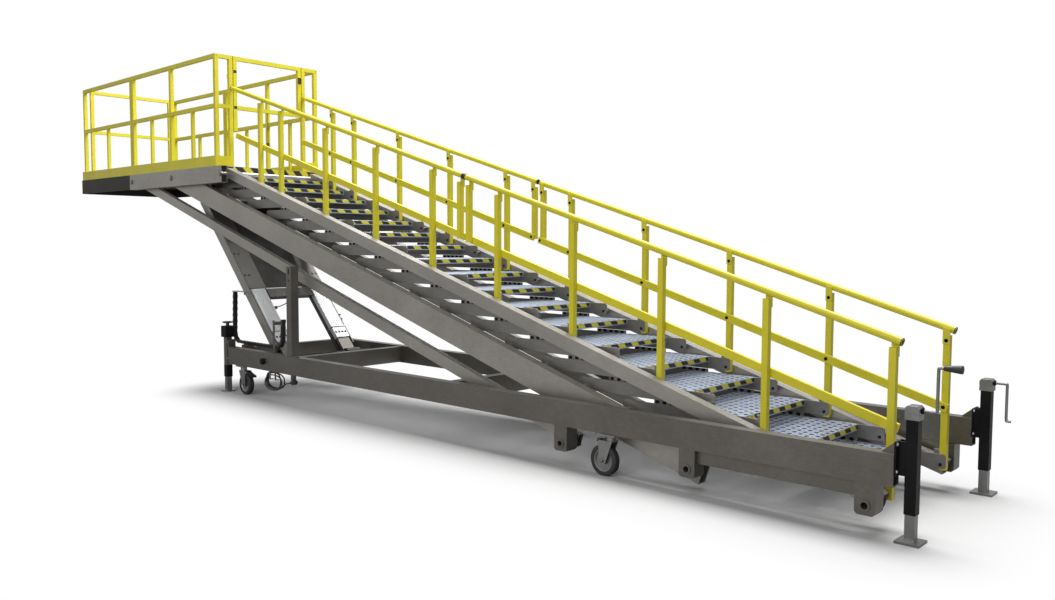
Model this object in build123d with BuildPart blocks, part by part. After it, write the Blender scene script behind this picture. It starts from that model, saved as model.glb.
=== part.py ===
"""Cantilevered inspection stand: a wheeled base, a self-levelling stair and a lifting platform.

Millimetres. +X points to the foot of the stair, +Y to the far side, +Z up.
The origin is on the floor, under the middle of the stand's overall length and width.
"""
import os
from math import asin, atan2, cos, degrees, hypot, radians, sin, tan

from build123d import *

os.makedirs("parts", exist_ok=True)

# Base rails
rail_outer = 655
rail_width = 76
rail_height = 165
rail_wall = 6
rail_bottom = 272
rail_front = 4864
rail_rear = -1515
cross_width = 76
cross_height = 150
cross_rise = 8
cross_places = (-1439, -433, 1590)

# Three arms a side: name, base pivot x, height, width, wall, centre line above the pivot
arm_table = (
    ("upper_stringers", 4726, 90, 76, 5, 4),
    ("lower_stringers", 3686, 187, 76, 6, -18),
    ("struts", 2726, 90, 51, 4, 10),
)
arm_length = 6750
arm_angle = 17
arm_overhang = 34
arm_outer = 518
pivot_z = 155
pivot_pin_radius = 18
pin_clearance = 0.1
face_gap = 0.3
running_gap = 6

# Pivot boxes under the rails
box_length = 107
box_outer = 650
box_inner = 545
box_bottom = 105
box_corner = 14
box_plate = 12
bush_radius = 29
bush_proud = 7
bush_recess = 30
sub_beam_bottom = 190
sub_beam_outer = 620
sub_beam_width = 55

# Self-levelling treads
tread_count = 18
tread_pitch = 371.4
tread_first_x = 4751
tread_first_z = 177
bar_height = 85
bar_thickness = 8
bar_outer = 397
bar_front = 30
bar_back = 40
tread_top_above_pivot = 61
nosing_behind_pivot = 130
plank_depth = 430
plank_drop = 38
plank_sheet = 4
plank_end_gap = 1
tread_pin_radius = 9
tread_bush_radius = 15
gusset_reach = 32
gusset_rise = 26
gusset_sheet = 8

# Posts and handrails of the stair
post_treads = (0, 2, 4, 6, 8, 10, 12, 14, 16, 17)
post_size = 38
post_wall = 3
post_ahead_of_pivot = 10
post_foot_below_top = 95
post_top_pin_above_tread = 667
post_end_above_pin = 29
mid_pin_above_tread = 280
handrail_radius = 21
handrail_wall = 3
handrail_above_pin = 68
handrail_low_end = 4806
handrail_high_end = -1798
mid_rail_height = 38
mid_rail_thickness = 25
mid_rail_low_end = 4785
mid_rail_high_end = -1771
lug_thickness = 8
lug_width = 40
split_links_x = (1525, 1620)
split_gap = 24
rail_pin_radius = 7
pin_head = 5
rail_side_gap = 0.3

# Platform
platform_rear = -5148
platform_outer = 594
beam_width = 70
beam_height = 166
beam_wall = 5
beam_front = -1715
beam_rear = -3781
deck_top = 2206
deck_sheet = 6
deck_front = -1767
front_edge_height = 62
front_edge_sheet = 8
joist_depth = 50
joist_width = 40
joist_places = (-5050, -4620, -4190, -3460, -3120, -2420, -2050)
fascia_sheet = 6
toe_height = 102
toe_sheet = 6
return_gap = 0.3
toe_rear = -5120
guard_top = 3303
guard_mid = 2799
tube_size = 38
tube_wall = 3
guard_front = -1832
guard_rear = -5049
side_posts = (-5049, -3735, -3685, -2775, -1832)
side_balusters = (-4385, -3240, -2315)
baluster_size = 32
baluster_above_mid = 22
end_post_y = 490
gate_post_y = 417
gate_upright_y = 371
gate_low = 2563
gate_axis_x = -1858.3
gate_axis_y = -394
gate_knuckle_radius = 7
gate_cord_length = 300
gate_cord_radius = 4
gate_knob_radius = 14
gate_knob_length = 50

# Lifting legs
leg_pivot_x = -881
leg_pivot_z = 356
leg_shaft_radius = 24
leg_hub_radius = 44
leg_eye_along_arm = 6560
leg_axis_offset = 57
leg_outer = 432
leg_inner = 248
cheek_sheet = 8
profile_depth = 44
profile_gap = 6
leg_plate = 8
base_profile_start = 70
base_profile_end = 1950
mast_start = 350
mast_end = 2180
cheek_start = 130
carriage_start = 862
panel_start = 890
panel_end = 2120
cross_box_start = 775
cross_box_end = 885
end_plate = 14
leg_wall = 5
core_radius = 13
eye_radius = 40
eye_plate = 12
eye_plane_gap = 0.3
eye_y = 300
leg_tie_along_arm = 6690
leg_tie_radius = 30

# Casters
wheel_radius = 100
wheel_width = 50
wheel_bore = 10
rim_radius = 72
hub_radius = 26
web_recess = 14
caster_table = (
    ("rear_left", -1302, -1, 50, 110),
    ("rear_right", -1302, 1, 50, 110),
    ("mid_left", 3114, -1, -45, 18),
    ("mid_right", 3114, 1, -45, 18),
)
caster_plate = 10
caster_plate_length = 130
caster_plate_width = 100
fork_sheet = 6
fork_gap = 4
fork_crown_z = 222
swivel_radius = 30
pedal_drop = 0.42
swivel_gap = 0.3

# Levelling jacks
jack_x = 4934
jack_y = 593
jack_tube = 57
jack_wall = 4
jack_leg = 56.4 - 2 * 4
jack_leg_top = 400
jack_low = 142
jack_top = 610
jack_head = 70
jack_head_height = 70
jack_foot = 120
jack_foot_sheet = 12
bracket_low = 250
bracket_high = 500
bracket_sheet = 10
gusset_length = 74
rear_jack_x = -1565
rear_jack_y = 635
rear_jack_foot_radius = 68
rear_jack_top = 640
rear_head_low = 530
rear_head = 92
rear_cap_radius = 48
rear_cap_height = 14
crank_radius = 8
crank_reach = 70
crank_end = 24
crank_throw = 215
crank_grip_radius = 17
crank_grip_length = 85
crank_z = 658

# Transport post on the near rail
lock_post_x = -448
lock_post_size = 76
lock_post_top = 1240
lock_slot_length = 45
lock_slot_width = 18
lock_hole_radius = 9
lock_slot_below_top = 45
lock_hole_below_top = 125

# Cable carrier beside the near leg
chain_y = 478
chain_width = 44
chain_height = 28
chain_pitch = 34
chain_bracket = (-1690, 960)
chain_low_z = 468
chain_front_x = -838
chain_front_top = 734
chain_bend = 95
carrier_post = 30

# Cords: the coil under the near rail, its plug, and the short lead at the legs
coil_x = -773
coil_z = 176
coil_from_rail_middle = 12
coil_reach = 141
coil_drop = 42
coil_radius = 21
cord_radius = 6
hook_width = 24
hook_sheet = 5
plug_radius = 20
plug_length = 70
tail_end_x = -773 + 141 + 21 - 4 + 122
lead_y = -60
lead_radius = 5

rail_top = rail_bottom + rail_height
rail_inner = rail_outer - rail_width
rail_middle = rail_outer - rail_width / 2
slope = radians(arm_angle)
arm_run = arm_length * cos(slope)
arm_rise = arm_length * sin(slope)
bolt_z = pivot_z + arm_rise
arm_inner = arm_outer - arm_table[0][3]
tread_run = tread_pitch * cos(slope)
tread_rise = tread_pitch * sin(slope)
link_length = arm_table[0][1] - arm_table[1][1]
post_inner = bar_outer
post_outer = bar_outer + post_size


def span(side, low, high):
    """The lower and higher Y of a piece on the near side (-1) or the far side (1)."""
    return tuple(sorted((side * low, side * high)))


def block(x, y, z, mode=Mode.ADD):
    """A box between two values along each axis."""
    with BuildSketch(Plane.XY.offset(min(z))) as outline:
        with Locations(((x[0] + x[1]) / 2, (y[0] + y[1]) / 2)):
            Rectangle(abs(x[1] - x[0]), abs(y[1] - y[0]))
    extrude(outline.sketch, amount=abs(z[1] - z[0]), mode=mode)


def round_y(x, z, radius, y, mode=Mode.ADD):
    """A round bar or bore along Y."""
    plane = Plane(origin=(x, min(y), z), x_dir=(1, 0, 0), z_dir=(0, 1, 0))
    with BuildSketch(plane) as outline:
        Circle(radius)
    extrude(outline.sketch, amount=abs(y[1] - y[0]), mode=mode)


def hexagon_y(x, z, radius, y, mode=Mode.ADD):
    """A six-sided bush along Y."""
    plane = Plane(origin=(x, min(y), z), x_dir=(1, 0, 0), z_dir=(0, 1, 0))
    with BuildSketch(plane) as outline:
        RegularPolygon(radius, 6)
    extrude(outline.sketch, amount=abs(y[1] - y[0]), mode=mode)


def tube(plane, width, height, wall, length, mode=Mode.ADD):
    """A rectangular tube that starts on a plane and follows its normal."""
    with BuildSketch(plane) as outline:
        Rectangle(width, height)
        if wall:
            Rectangle(width - 2 * wall, height - 2 * wall, mode=Mode.SUBTRACT)
    extrude(outline.sketch, amount=length, mode=mode)


def tube_x(x, y, z, width, height, wall):
    """A rectangular tube along X."""
    tube(Plane(origin=(min(x), y, z), x_dir=(0, 1, 0), z_dir=(1, 0, 0)), width, height, wall, abs(x[1] - x[0]))


def tube_y(x, y, z, width, height, wall):
    """A rectangular tube along Y."""
    tube(Plane(origin=(x, min(y), z), x_dir=(1, 0, 0), z_dir=(0, 1, 0)), width, height, wall, abs(y[1] - y[0]))


def tube_z(x, y, z, width, height, wall):
    """A rectangular tube along Z."""
    tube(Plane(origin=(x, y, min(z)), x_dir=(1, 0, 0), z_dir=(0, 0, 1)), width, height, wall, abs(z[1] - z[0]))


def side_profile(points, y, mode=Mode.ADD):
    """A flat shape drawn in X and Z and extruded along Y."""
    plane = Plane(origin=(0, max(y), 0), x_dir=(1, 0, 0), z_dir=(0, -1, 0))
    with BuildSketch(plane) as outline:
        with BuildLine():
            Polyline(*points, close=True)
        make_face()
    extrude(outline.sketch, amount=abs(y[1] - y[0]), mode=mode)


def save(builder, name):
    """Label a finished part and write it."""
    builder.part.label = name
    export_step(builder.part, f"parts/{name}.step")


def on_arm(pivot_x, along, above=0):
    """X and Z of a point that lies along an arm from its base pivot and above its line."""
    x = pivot_x - along * cos(slope) + above * sin(slope)
    z = pivot_z + along * sin(slope) + above * cos(slope)
    return x, z


# Base frame: two open-ended rails with the bores of the leg shaft
with BuildPart() as base_rails:
    for side in (-1, 1):
        tube_x((rail_rear, rail_front), side * rail_middle, rail_bottom + rail_height / 2,
               rail_width, rail_height, rail_wall)
        round_y(leg_pivot_x, leg_pivot_z, leg_shaft_radius + pin_clearance,
                span(side, rail_inner - 1, rail_outer + 1), Mode.SUBTRACT)
save(base_rails, "base_rails")

# Cross-members, welded between the rails, with tread plates of the carrier on the rear one
with BuildPart() as cross_members:
    for cross_x in cross_places:
        cross_z = rail_top - cross_rise - cross_height / 2
        tube_y(cross_x, (-rail_inner, rail_inner), cross_z, cross_width, cross_height, rail_wall)
save(cross_members, "cross_members")

# Brackets under the rails that carry the arms, and the sub-beams between them
with BuildPart() as arm_brackets:
    for side in (-1, 1):
        for name, pivot_x, height, width, wall, offset in arm_table:
            half = box_length / 2
            outline = [(pivot_x - half, rail_bottom), (pivot_x - half, box_bottom + box_corner),
                       (pivot_x - half + box_corner, box_bottom), (pivot_x + half - box_corner, box_bottom),
                       (pivot_x + half, box_bottom + box_corner), (pivot_x + half, rail_bottom)]
            for plate_y in (box_inner, box_outer - box_plate):
                side_profile(outline, span(side, plate_y, plate_y + box_plate))
            for end_x in (pivot_x - half, pivot_x + half - box_plate):
                block((end_x, end_x + box_plate), span(side, box_inner + box_plate, box_outer - box_plate),
                      (box_bottom + box_corner, rail_bottom))
            block((pivot_x - half + box_corner, pivot_x + half - box_corner),
                  span(side, box_inner + box_plate, box_outer - box_plate), (box_bottom, box_bottom + box_plate))
            round_y(pivot_x, pivot_z, bush_radius, span(side, box_inner, box_outer + bush_proud))
            round_y(pivot_x, pivot_z, pivot_pin_radius + pin_clearance,
                    span(side, box_inner - 1, box_outer + bush_proud + 1), Mode.SUBTRACT)
        block((arm_table[1][1] + box_length / 2, arm_table[0][1] - box_length / 2),
              span(side, sub_beam_outer - sub_beam_width, sub_beam_outer), (sub_beam_bottom, rail_bottom))
save(arm_brackets, "arm_brackets")

# Transport post on the near rail, with a slot and a hole for the lock, and hooks for the cable
with BuildPart() as lock_post:
    hook_y = -rail_middle + coil_from_rail_middle - coil_radius
    hook_top = coil_z + coil_drop - coil_radius - 0.3
    for hook_x in (coil_x - coil_reach / 3, coil_x + coil_reach / 3):
        block((hook_x - hook_width / 2, hook_x + hook_width / 2), (hook_y - hook_sheet, hook_y - 0.3),
              (hook_top - hook_sheet, rail_bottom))
        block((hook_x - hook_width / 2, hook_x + hook_width / 2), (hook_y - 0.3, hook_y + 1.6 * coil_radius),
              (hook_top - hook_sheet, hook_top))
    hook_x = tail_end_x + plug_length * 0.4
    block((hook_x - hook_width / 2, hook_x + hook_width / 2),
          (hook_y, hook_y + 2 * coil_radius), (coil_z + 15 + plug_radius + 7, rail_bottom))
    tube_z(lock_post_x, -rail_middle, (rail_top, lock_post_top), lock_post_size, lock_post_size, rail_wall)
    slot_z = lock_post_top - lock_slot_below_top
    block((lock_post_x - lock_slot_width / 2, lock_post_x + lock_slot_width / 2),
          (-rail_outer - 1, -rail_inner - rail_width / 2), (slot_z - lock_slot_length / 2, slot_z + lock_slot_length / 2),
          Mode.SUBTRACT)
    round_y(lock_post_x, lock_post_top - lock_hole_below_top, lock_hole_radius,
            (-rail_outer - 1, -rail_inner - rail_width / 2), Mode.SUBTRACT)
save(lock_post, "lock_post")

# Pivot pins of the arms and the shaft of the lifting legs
with BuildPart() as pivot_pins:
    for side in (-1, 1):
        for name, pivot_x, height, width, wall, offset in arm_table:
            pin_end = arm_outer - width + wall
            round_y(pivot_x, pivot_z, pivot_pin_radius, span(side, pin_end, box_outer + bush_proud - bush_recess))
    round_y(leg_pivot_x, leg_pivot_z, leg_shaft_radius, (-rail_outer + bush_recess, rail_outer - bush_recess))
save(pivot_pins, "pivot_pins")

# Arms of the parallelogram with the tubes that join each pair
for name, pivot_x, height, width, wall, offset in arm_table:
    with BuildPart() as arm_pair:
        arm_middle = arm_outer - width / 2
        along = Vector(-cos(slope), 0, sin(slope))
        start_x, start_z = on_arm(pivot_x, -arm_overhang, offset)
        bolt_x = pivot_x - arm_run
        for side in (-1, 1):
            plane = Plane(origin=(start_x, side * arm_middle, start_z), x_dir=(0, 1, 0), z_dir=along)
            tube(plane, width, height, wall, arm_length + 2 * arm_overhang)
            if name == "lower_stringers":
                cut = [on_arm(pivot_x, arm_length - 300, height / 2 + offset),
                       on_arm(pivot_x, arm_length - 110, 40),
                       on_arm(pivot_x, arm_length + 60, 40),
                       on_arm(pivot_x, arm_length + 60, height)]
                side_profile(cut, span(side, arm_outer - width - 1, arm_outer + 1), Mode.SUBTRACT)
            round_y(pivot_x, pivot_z, pivot_pin_radius + pin_clearance,
                    span(side, arm_outer - width + wall / 2, arm_outer + 1), Mode.SUBTRACT)
            round_y(bolt_x, bolt_z, pivot_pin_radius + pin_clearance,
                    span(side, arm_outer - width + wall / 2, arm_outer + 1), Mode.SUBTRACT)
        inner = arm_outer - width
        if name != "lower_stringers":
            round_y(bolt_x, bolt_z, pivot_pin_radius + 4, (-inner, inner))
        else:
            tie_x, tie_z = on_arm(pivot_x, leg_tie_along_arm)
            round_y(tie_x, tie_z, leg_tie_radius, (-inner, inner))
            eye_x, eye_z = on_arm(pivot_x, leg_eye_along_arm)
            for side in (-1, 1):
                plate_y = span(side, eye_y + eye_plate + eye_plane_gap, eye_y + 2 * eye_plate + eye_plane_gap)
                ear = [on_arm(pivot_x, leg_tie_along_arm, -eye_radius),
                       on_arm(pivot_x, leg_tie_along_arm, eye_radius),
                       on_arm(pivot_x, leg_eye_along_arm - 30, eye_radius * 0.7),
                       on_arm(pivot_x, leg_eye_along_arm - 30, -eye_radius * 0.7)]
                side_profile(ear, plate_y)
                round_y(eye_x, eye_z, pivot_pin_radius, span(side, eye_y + eye_plate + eye_plane_gap,
                                                            eye_y + 3 * eye_plate))
    save(arm_pair, name)

# Treads: side bars, a folded perforated plank, pivot bushes and, on some, a pair of posts
for index in range(tread_count):
    with BuildPart() as tread:
        front_x = tread_first_x - index * tread_run
        pin_z = tread_first_z + index * tread_rise
        top_z = pin_z + tread_top_above_pivot
        back_x = front_x - link_length
        nosing_x = front_x - nosing_behind_pivot
        plank_y = bar_outer - bar_thickness
        has_post = index in post_treads
        for side in (-1, 1):
            block((back_x - bar_back, front_x + bar_front), span(side, bar_outer - bar_thickness, bar_outer),
                  (top_z - bar_height, top_z))
        block((nosing_x - plank_depth, nosing_x), (-plank_y, plank_y), (top_z - plank_sheet, top_z))
        block((nosing_x - plank_sheet, nosing_x), (-plank_y, plank_y), (top_z - plank_drop, top_z))
        block((nosing_x - plank_depth, nosing_x - plank_depth + plank_sheet), (-plank_y, plank_y),
              (top_z - plank_drop, top_z))
        for side in (-1, 1):
            hexagon_y(back_x, pin_z, tread_bush_radius, span(side, bar_outer, arm_inner - face_gap))
            if has_post:
                round_y(front_x, pin_z, tread_bush_radius, span(side, post_outer, arm_inner - face_gap))
                block((front_x + post_ahead_of_pivot - post_size / 2 - gusset_reach,
                       front_x + post_ahead_of_pivot - post_size / 2),
                      span(side, bar_outer, bar_outer + gusset_sheet), (top_z - bar_height / 2, top_z + gusset_rise))
                post_x = front_x + post_ahead_of_pivot
                post_y = side * (post_inner + post_size / 2)
                foot_z = top_z - post_foot_below_top
                head_z = top_z + post_top_pin_above_tread + post_end_above_pin
                tube_z(post_x, post_y, (foot_z, head_z), post_size, post_size, post_wall)
            else:
                round_y(front_x, pin_z, tread_bush_radius, span(side, bar_outer, arm_inner - face_gap))
    save(tread, f"tread_{index + 1:02d}")

# Line of the handrail pins, at the first post
first_post_x = tread_first_x + post_ahead_of_pivot
first_top = tread_first_z + tread_top_above_pivot
top_pin_z = first_top + post_top_pin_above_tread
mid_pin_z = first_top + mid_pin_above_tread
post_places = [first_post_x - index * tread_run for index in post_treads]
along = Vector(-cos(slope), 0, sin(slope))


def on_pin_line(x, first_z, above=0):
    """Z on a line that is parallel to the arms and passes the first post at first_z."""
    return first_z + (first_post_x - x) * tan(slope) + above / cos(slope)


def sloped_length(high_x, low_x):
    """Length along the slope between two X values."""
    return (low_x - high_x) / cos(slope)


# Top rails of the stair, in two lengths a side, with a lug at each post
split_middle = sum(split_links_x) / 2
with BuildPart() as top_rails:
    rail_y = post_inner + post_size / 2
    lengths = ((handrail_high_end, split_middle - split_gap / 2), (split_middle + split_gap / 2, handrail_low_end))
    for side in (-1, 1):
        for high_x, low_x in lengths:
            start_z = on_pin_line(low_x, top_pin_z, handrail_above_pin)
            plane = Plane(origin=(low_x, side * rail_y, start_z), x_dir=(0, 1, 0), z_dir=along)
            with BuildSketch(plane) as ring:
                Circle(handrail_radius)
                Circle(handrail_radius - handrail_wall, mode=Mode.SUBTRACT)
            extrude(ring.sketch, amount=sloped_length(high_x, low_x))
        for pin_x in list(post_places) + list(split_links_x):
            pin_at = on_pin_line(pin_x, top_pin_z)
            lug_y = span(side, post_inner - rail_side_gap - lug_thickness, post_inner - rail_side_gap)
            corner = lug_width / 2
            lug = [(pin_x - corner, pin_at - corner), (pin_x + corner, pin_at - corner),
                   (pin_x + corner, on_pin_line(pin_x + corner, top_pin_z, handrail_above_pin)),
                   (pin_x - corner, on_pin_line(pin_x - corner, top_pin_z, handrail_above_pin))]
            side_profile(lug, lug_y)
            head_y = span(side, post_inner - rail_side_gap - lug_thickness - pin_head, post_inner - rail_side_gap)
            if pin_x == post_places[0]:
                round_y(pin_x, pin_at, rail_pin_radius, head_y)
save(top_rails, "top_rails")

# Mid rails of the stair, on the inner side of the posts
with BuildPart() as mid_rails:
    rail_y = post_inner - rail_side_gap - mid_rail_thickness / 2
    lengths = ((mid_rail_high_end, split_links_x[0] + post_size / 2),
               (split_links_x[1] - post_size / 2, mid_rail_low_end))
    for side in (-1, 1):
        for high_x, low_x in lengths:
            start_z = on_pin_line(low_x, mid_pin_z)
            plane = Plane(origin=(low_x, side * rail_y, start_z), x_dir=(0, 1, 0), z_dir=along)
            tube(plane, mid_rail_thickness, mid_rail_height, post_wall, sloped_length(high_x, low_x))
        pin_y = span(side, post_inner - rail_side_gap - mid_rail_thickness - pin_head, post_inner - rail_side_gap)
        round_y(first_post_x, mid_pin_z, rail_pin_radius, pin_y)
save(mid_rails, "mid_rails")

# Links that end the two lengths of rail at the split
for link_name, link_x in zip(("split_link_upper", "split_link_lower"), split_links_x):
    with BuildPart() as split_link:
        low_z = on_pin_line(link_x, mid_pin_z) - post_size / 2
        high_z = on_pin_line(link_x, top_pin_z) + post_size / 2
        for side in (-1, 1):
            tube_z(link_x, side * (post_inner + post_size / 2), (low_z, high_z), post_size, post_size, post_wall)
            round_y(link_x, on_pin_line(link_x, top_pin_z), rail_pin_radius,
                    span(side, post_outer - post_wall, post_outer + pin_head))
    save(split_link, link_name)

# Platform frame: side beams, pins, joists, deck and the striped front edge's plate
deck_bottom = deck_top - deck_sheet
beam_bottom = deck_top - beam_height
beam_inner = platform_outer - beam_width
with BuildPart() as platform_frame:
    for side in (-1, 1):
        tube_x((beam_rear, beam_front), side * (platform_outer - beam_width / 2), deck_top - beam_height / 2,
               beam_width, beam_height, beam_wall)
        for name, pivot_x, height, width, wall, offset in arm_table:
            pin_end = arm_outer - width + wall + 2
            round_y(pivot_x - arm_run, bolt_z, pivot_pin_radius, span(side, pin_end, platform_outer + 4))
    block((platform_rear + fascia_sheet, deck_front), (-beam_inner, beam_inner), (deck_bottom, deck_top))
    for side in (-1, 1):
        block((platform_rear + fascia_sheet, beam_rear),
              span(side, beam_inner, platform_outer - fascia_sheet), (deck_bottom, deck_top))
    block((deck_front - front_edge_sheet, deck_front), (-gate_post_y - tube_size / 2, gate_post_y + tube_size / 2),
          (deck_top - front_edge_height, deck_bottom))
    for joist_x in joist_places:
        reach = beam_inner if joist_x > beam_rear else platform_outer - fascia_sheet
        block((joist_x - joist_width / 2, joist_x + joist_width / 2), (-reach, reach),
              (deck_bottom - joist_depth, deck_bottom))
save(platform_frame, "platform_frame")

# Dark fascia round the rear part of the platform
with BuildPart() as fascia:
    for side in (-1, 1):
        block((platform_rear, beam_rear), span(side, platform_outer - fascia_sheet, platform_outer),
              (beam_bottom, deck_top))
    block((platform_rear, platform_rear + fascia_sheet),
          (-platform_outer + fascia_sheet, platform_outer - fascia_sheet), (beam_bottom, deck_top))
save(fascia, "rear_fascia")

# Guard rails: toe boards, posts, balusters, top and mid rails
tube_y_place = platform_outer - tube_size / 2
rail_low = guard_top - tube_size
post_low = deck_top
with BuildPart() as guard_rails:
    for side in (-1, 1):
        block((toe_rear, guard_front + tube_size / 2), span(side, platform_outer - toe_sheet, platform_outer),
              (deck_top, deck_top + toe_height))
        inner_y = tube_y_place - toe_sheet
        return_end = inner_y - tube_size / 2 - return_gap
        block((guard_front + tube_size / 2 - toe_sheet, guard_front + tube_size / 2),
              span(side, gate_post_y - tube_size / 2, return_end), (deck_top, deck_top + toe_height))
        for post_x in side_posts:
            tube_z(post_x, side * inner_y, (post_low, rail_low), tube_size, tube_size, tube_wall)
        for baluster_x in side_balusters:
            tube_z(baluster_x, side * inner_y, (post_low, guard_mid + baluster_above_mid),
                   baluster_size, baluster_size, tube_wall)
        tube_x((guard_rear - tube_size / 2, guard_front + tube_size / 2), side * inner_y,
               guard_top - tube_size / 2, tube_size, tube_size, tube_wall)
        rail_ends = list(side_posts)
        for first, last in zip(rail_ends[:-1], rail_ends[1:]):
            if last - first > 2 * tube_size:
                tube_x((first + tube_size / 2, last - tube_size / 2), side * inner_y, guard_mid,
                       tube_size, tube_size, tube_wall)
        tube_z(guard_rear, side * end_post_y, (post_low, rail_low), tube_size, tube_size, tube_wall)
        tube_z(guard_front, side * gate_post_y, (post_low, rail_low), tube_size, tube_size, tube_wall)
        stub = span(side, gate_post_y - tube_size / 2, return_end)
        tube_y(guard_front, stub, guard_top - tube_size / 2, tube_size, tube_size, tube_wall)
        if side < 0:
            for hinge_z in (guard_mid, guard_top - 150):
                block((guard_front - tube_size / 2 - 8, guard_front - tube_size / 2),
                      (-gate_post_y - tube_size / 2, -gate_post_y + tube_size / 2), (hinge_z - 72, hinge_z - 30.3))
                with BuildSketch(Plane.XY.offset(hinge_z - 72)) as knuckle:
                    with Locations((gate_axis_x, gate_axis_y)):
                        Circle(gate_knuckle_radius)
                extrude(knuckle.sketch, amount=41.7)
        mid_stub = span(side, gate_post_y + tube_size / 2, return_end)
        tube_y(guard_front, mid_stub, guard_mid, tube_size, tube_size, tube_wall)
    block((toe_rear, toe_rear + toe_sheet), (-platform_outer + toe_sheet, platform_outer - toe_sheet),
          (deck_top, deck_top + toe_height))
    end_reach = end_post_y + tube_size / 2
    tube_y(guard_rear, (-end_reach, end_reach), guard_top - tube_size / 2, tube_size, tube_size, tube_wall)
    end_reach = end_post_y - tube_size / 2
    tube_y(guard_rear, (-end_reach, end_reach), guard_mid, tube_size, tube_size, tube_wall)
save(guard_rails, "guard_rails")

# Gate across the head of the stair
with BuildPart() as gate:
    hinge_y = -(gate_upright_y + tube_size / 2)
    for hinge_z in (guard_mid, guard_top - 150):
        block((guard_front - tube_size / 2 - 8, guard_front - tube_size / 2), (hinge_y, hinge_y + tube_size),
              (hinge_z - 30, hinge_z + 30))
        with BuildSketch(Plane.XY.offset(hinge_z - 30)) as knuckle:
            with Locations((gate_axis_x, gate_axis_y)):
                Circle(gate_knuckle_radius)
        extrude(knuckle.sketch, amount=60)
    reach = gate_upright_y + tube_size / 2
    tube_y(guard_front, (-reach, reach), guard_top - tube_size / 2, tube_size, tube_size, tube_wall)
    tube_z(guard_front, -gate_upright_y, (gate_low, rail_low), tube_size, tube_size, tube_wall)
    tube_z(guard_front, gate_upright_y, (guard_mid - tube_size / 2, rail_low), tube_size, tube_size, tube_wall)
    reach = gate_upright_y - tube_size / 2
    tube_y(guard_front, (-reach, reach), guard_mid, tube_size, tube_size, tube_wall)
save(gate, "gate")

# Cord with a knob that hangs from the gate's mid rail
cord_top = guard_mid - tube_size / 2
with BuildPart() as gate_cord:
    with BuildSketch(Plane.XY.offset(cord_top - gate_cord_length)) as ring:
        with Locations((guard_front, 0)):
            Circle(gate_cord_radius)
    extrude(ring.sketch, amount=gate_cord_length)
save(gate_cord, "gate_cord")

with BuildPart() as gate_knob:
    with BuildSketch(Plane.XY.offset(cord_top - gate_cord_length - gate_knob_length)) as ring:
        with Locations((guard_front, 0)):
            Circle(gate_knob_radius)
    extrude(ring.sketch, amount=gate_knob_length)
    chamfer(gate_knob.edges().filter_by(GeomType.CIRCLE), 3)
save(gate_knob, "gate_knob")

# Lifting legs: a frame along each leg, with t from the base shaft to the eye and n up to the front
eye_x, eye_z = on_arm(arm_table[1][1], leg_eye_along_arm)
eye_reach = hypot(eye_x - leg_pivot_x, eye_z - leg_pivot_z)
leg_tilt = atan2(leg_pivot_x - eye_x, eye_z - leg_pivot_z) - asin(leg_axis_offset / eye_reach)
eye_t = (eye_reach ** 2 - leg_axis_offset ** 2) ** 0.5
leg_along = Vector(-sin(leg_tilt), 0, cos(leg_tilt))
leg_normal = Vector(cos(leg_tilt), 0, sin(leg_tilt))


def on_leg(t, n):
    """X and Z of a point t along the leg from its shaft and n towards the front."""
    x = leg_pivot_x + t * leg_along.X + n * leg_normal.X
    z = leg_pivot_z + t * leg_along.Z + n * leg_normal.Z
    return x, z


def leg_block(t, n, y, mode=Mode.ADD):
    """A box set along the leg."""
    corners = [on_leg(t[0], n[0]), on_leg(t[1], n[0]), on_leg(t[1], n[1]), on_leg(t[0], n[1])]
    side_profile(corners, y, mode)


base_n = (-leg_axis_offset - profile_depth - profile_gap / 2, -leg_axis_offset - profile_gap / 2)
mast_n = (-leg_axis_offset + profile_gap / 2, -leg_axis_offset + profile_gap / 2 + profile_depth)
profile_y = (leg_inner + cheek_sheet + profile_gap, leg_outer - cheek_sheet - profile_gap)
with BuildPart() as leg_lower:
    for side in (-1, 1):
        leg_block((base_profile_start, base_profile_end), base_n, span(side, *profile_y))
        leg_block((base_profile_start + leg_wall, base_profile_end + 1),
                  (base_n[0] + leg_wall, base_n[1] - leg_wall),
                  span(side, profile_y[0] + leg_wall, profile_y[1] - leg_wall), Mode.SUBTRACT)
        for lug_y in (profile_y[0], profile_y[1] - eye_plate):
            lug_span = span(side, lug_y, lug_y + eye_plate)
            foot = [on_leg(-leg_hub_radius, -leg_hub_radius), on_leg(base_profile_start, base_n[0]),
                    on_leg(base_profile_start, base_n[1] + 30), on_leg(-leg_hub_radius, leg_hub_radius)]
            side_profile(foot, lug_span)
        round_y(leg_pivot_x, leg_pivot_z, leg_hub_radius, span(side, *profile_y))
        round_y(leg_pivot_x, leg_pivot_z, leg_shaft_radius + pin_clearance,
                span(side, profile_y[0] - 1, profile_y[1] + 1), Mode.SUBTRACT)
save(leg_lower, "leg_base_profiles")

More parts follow.
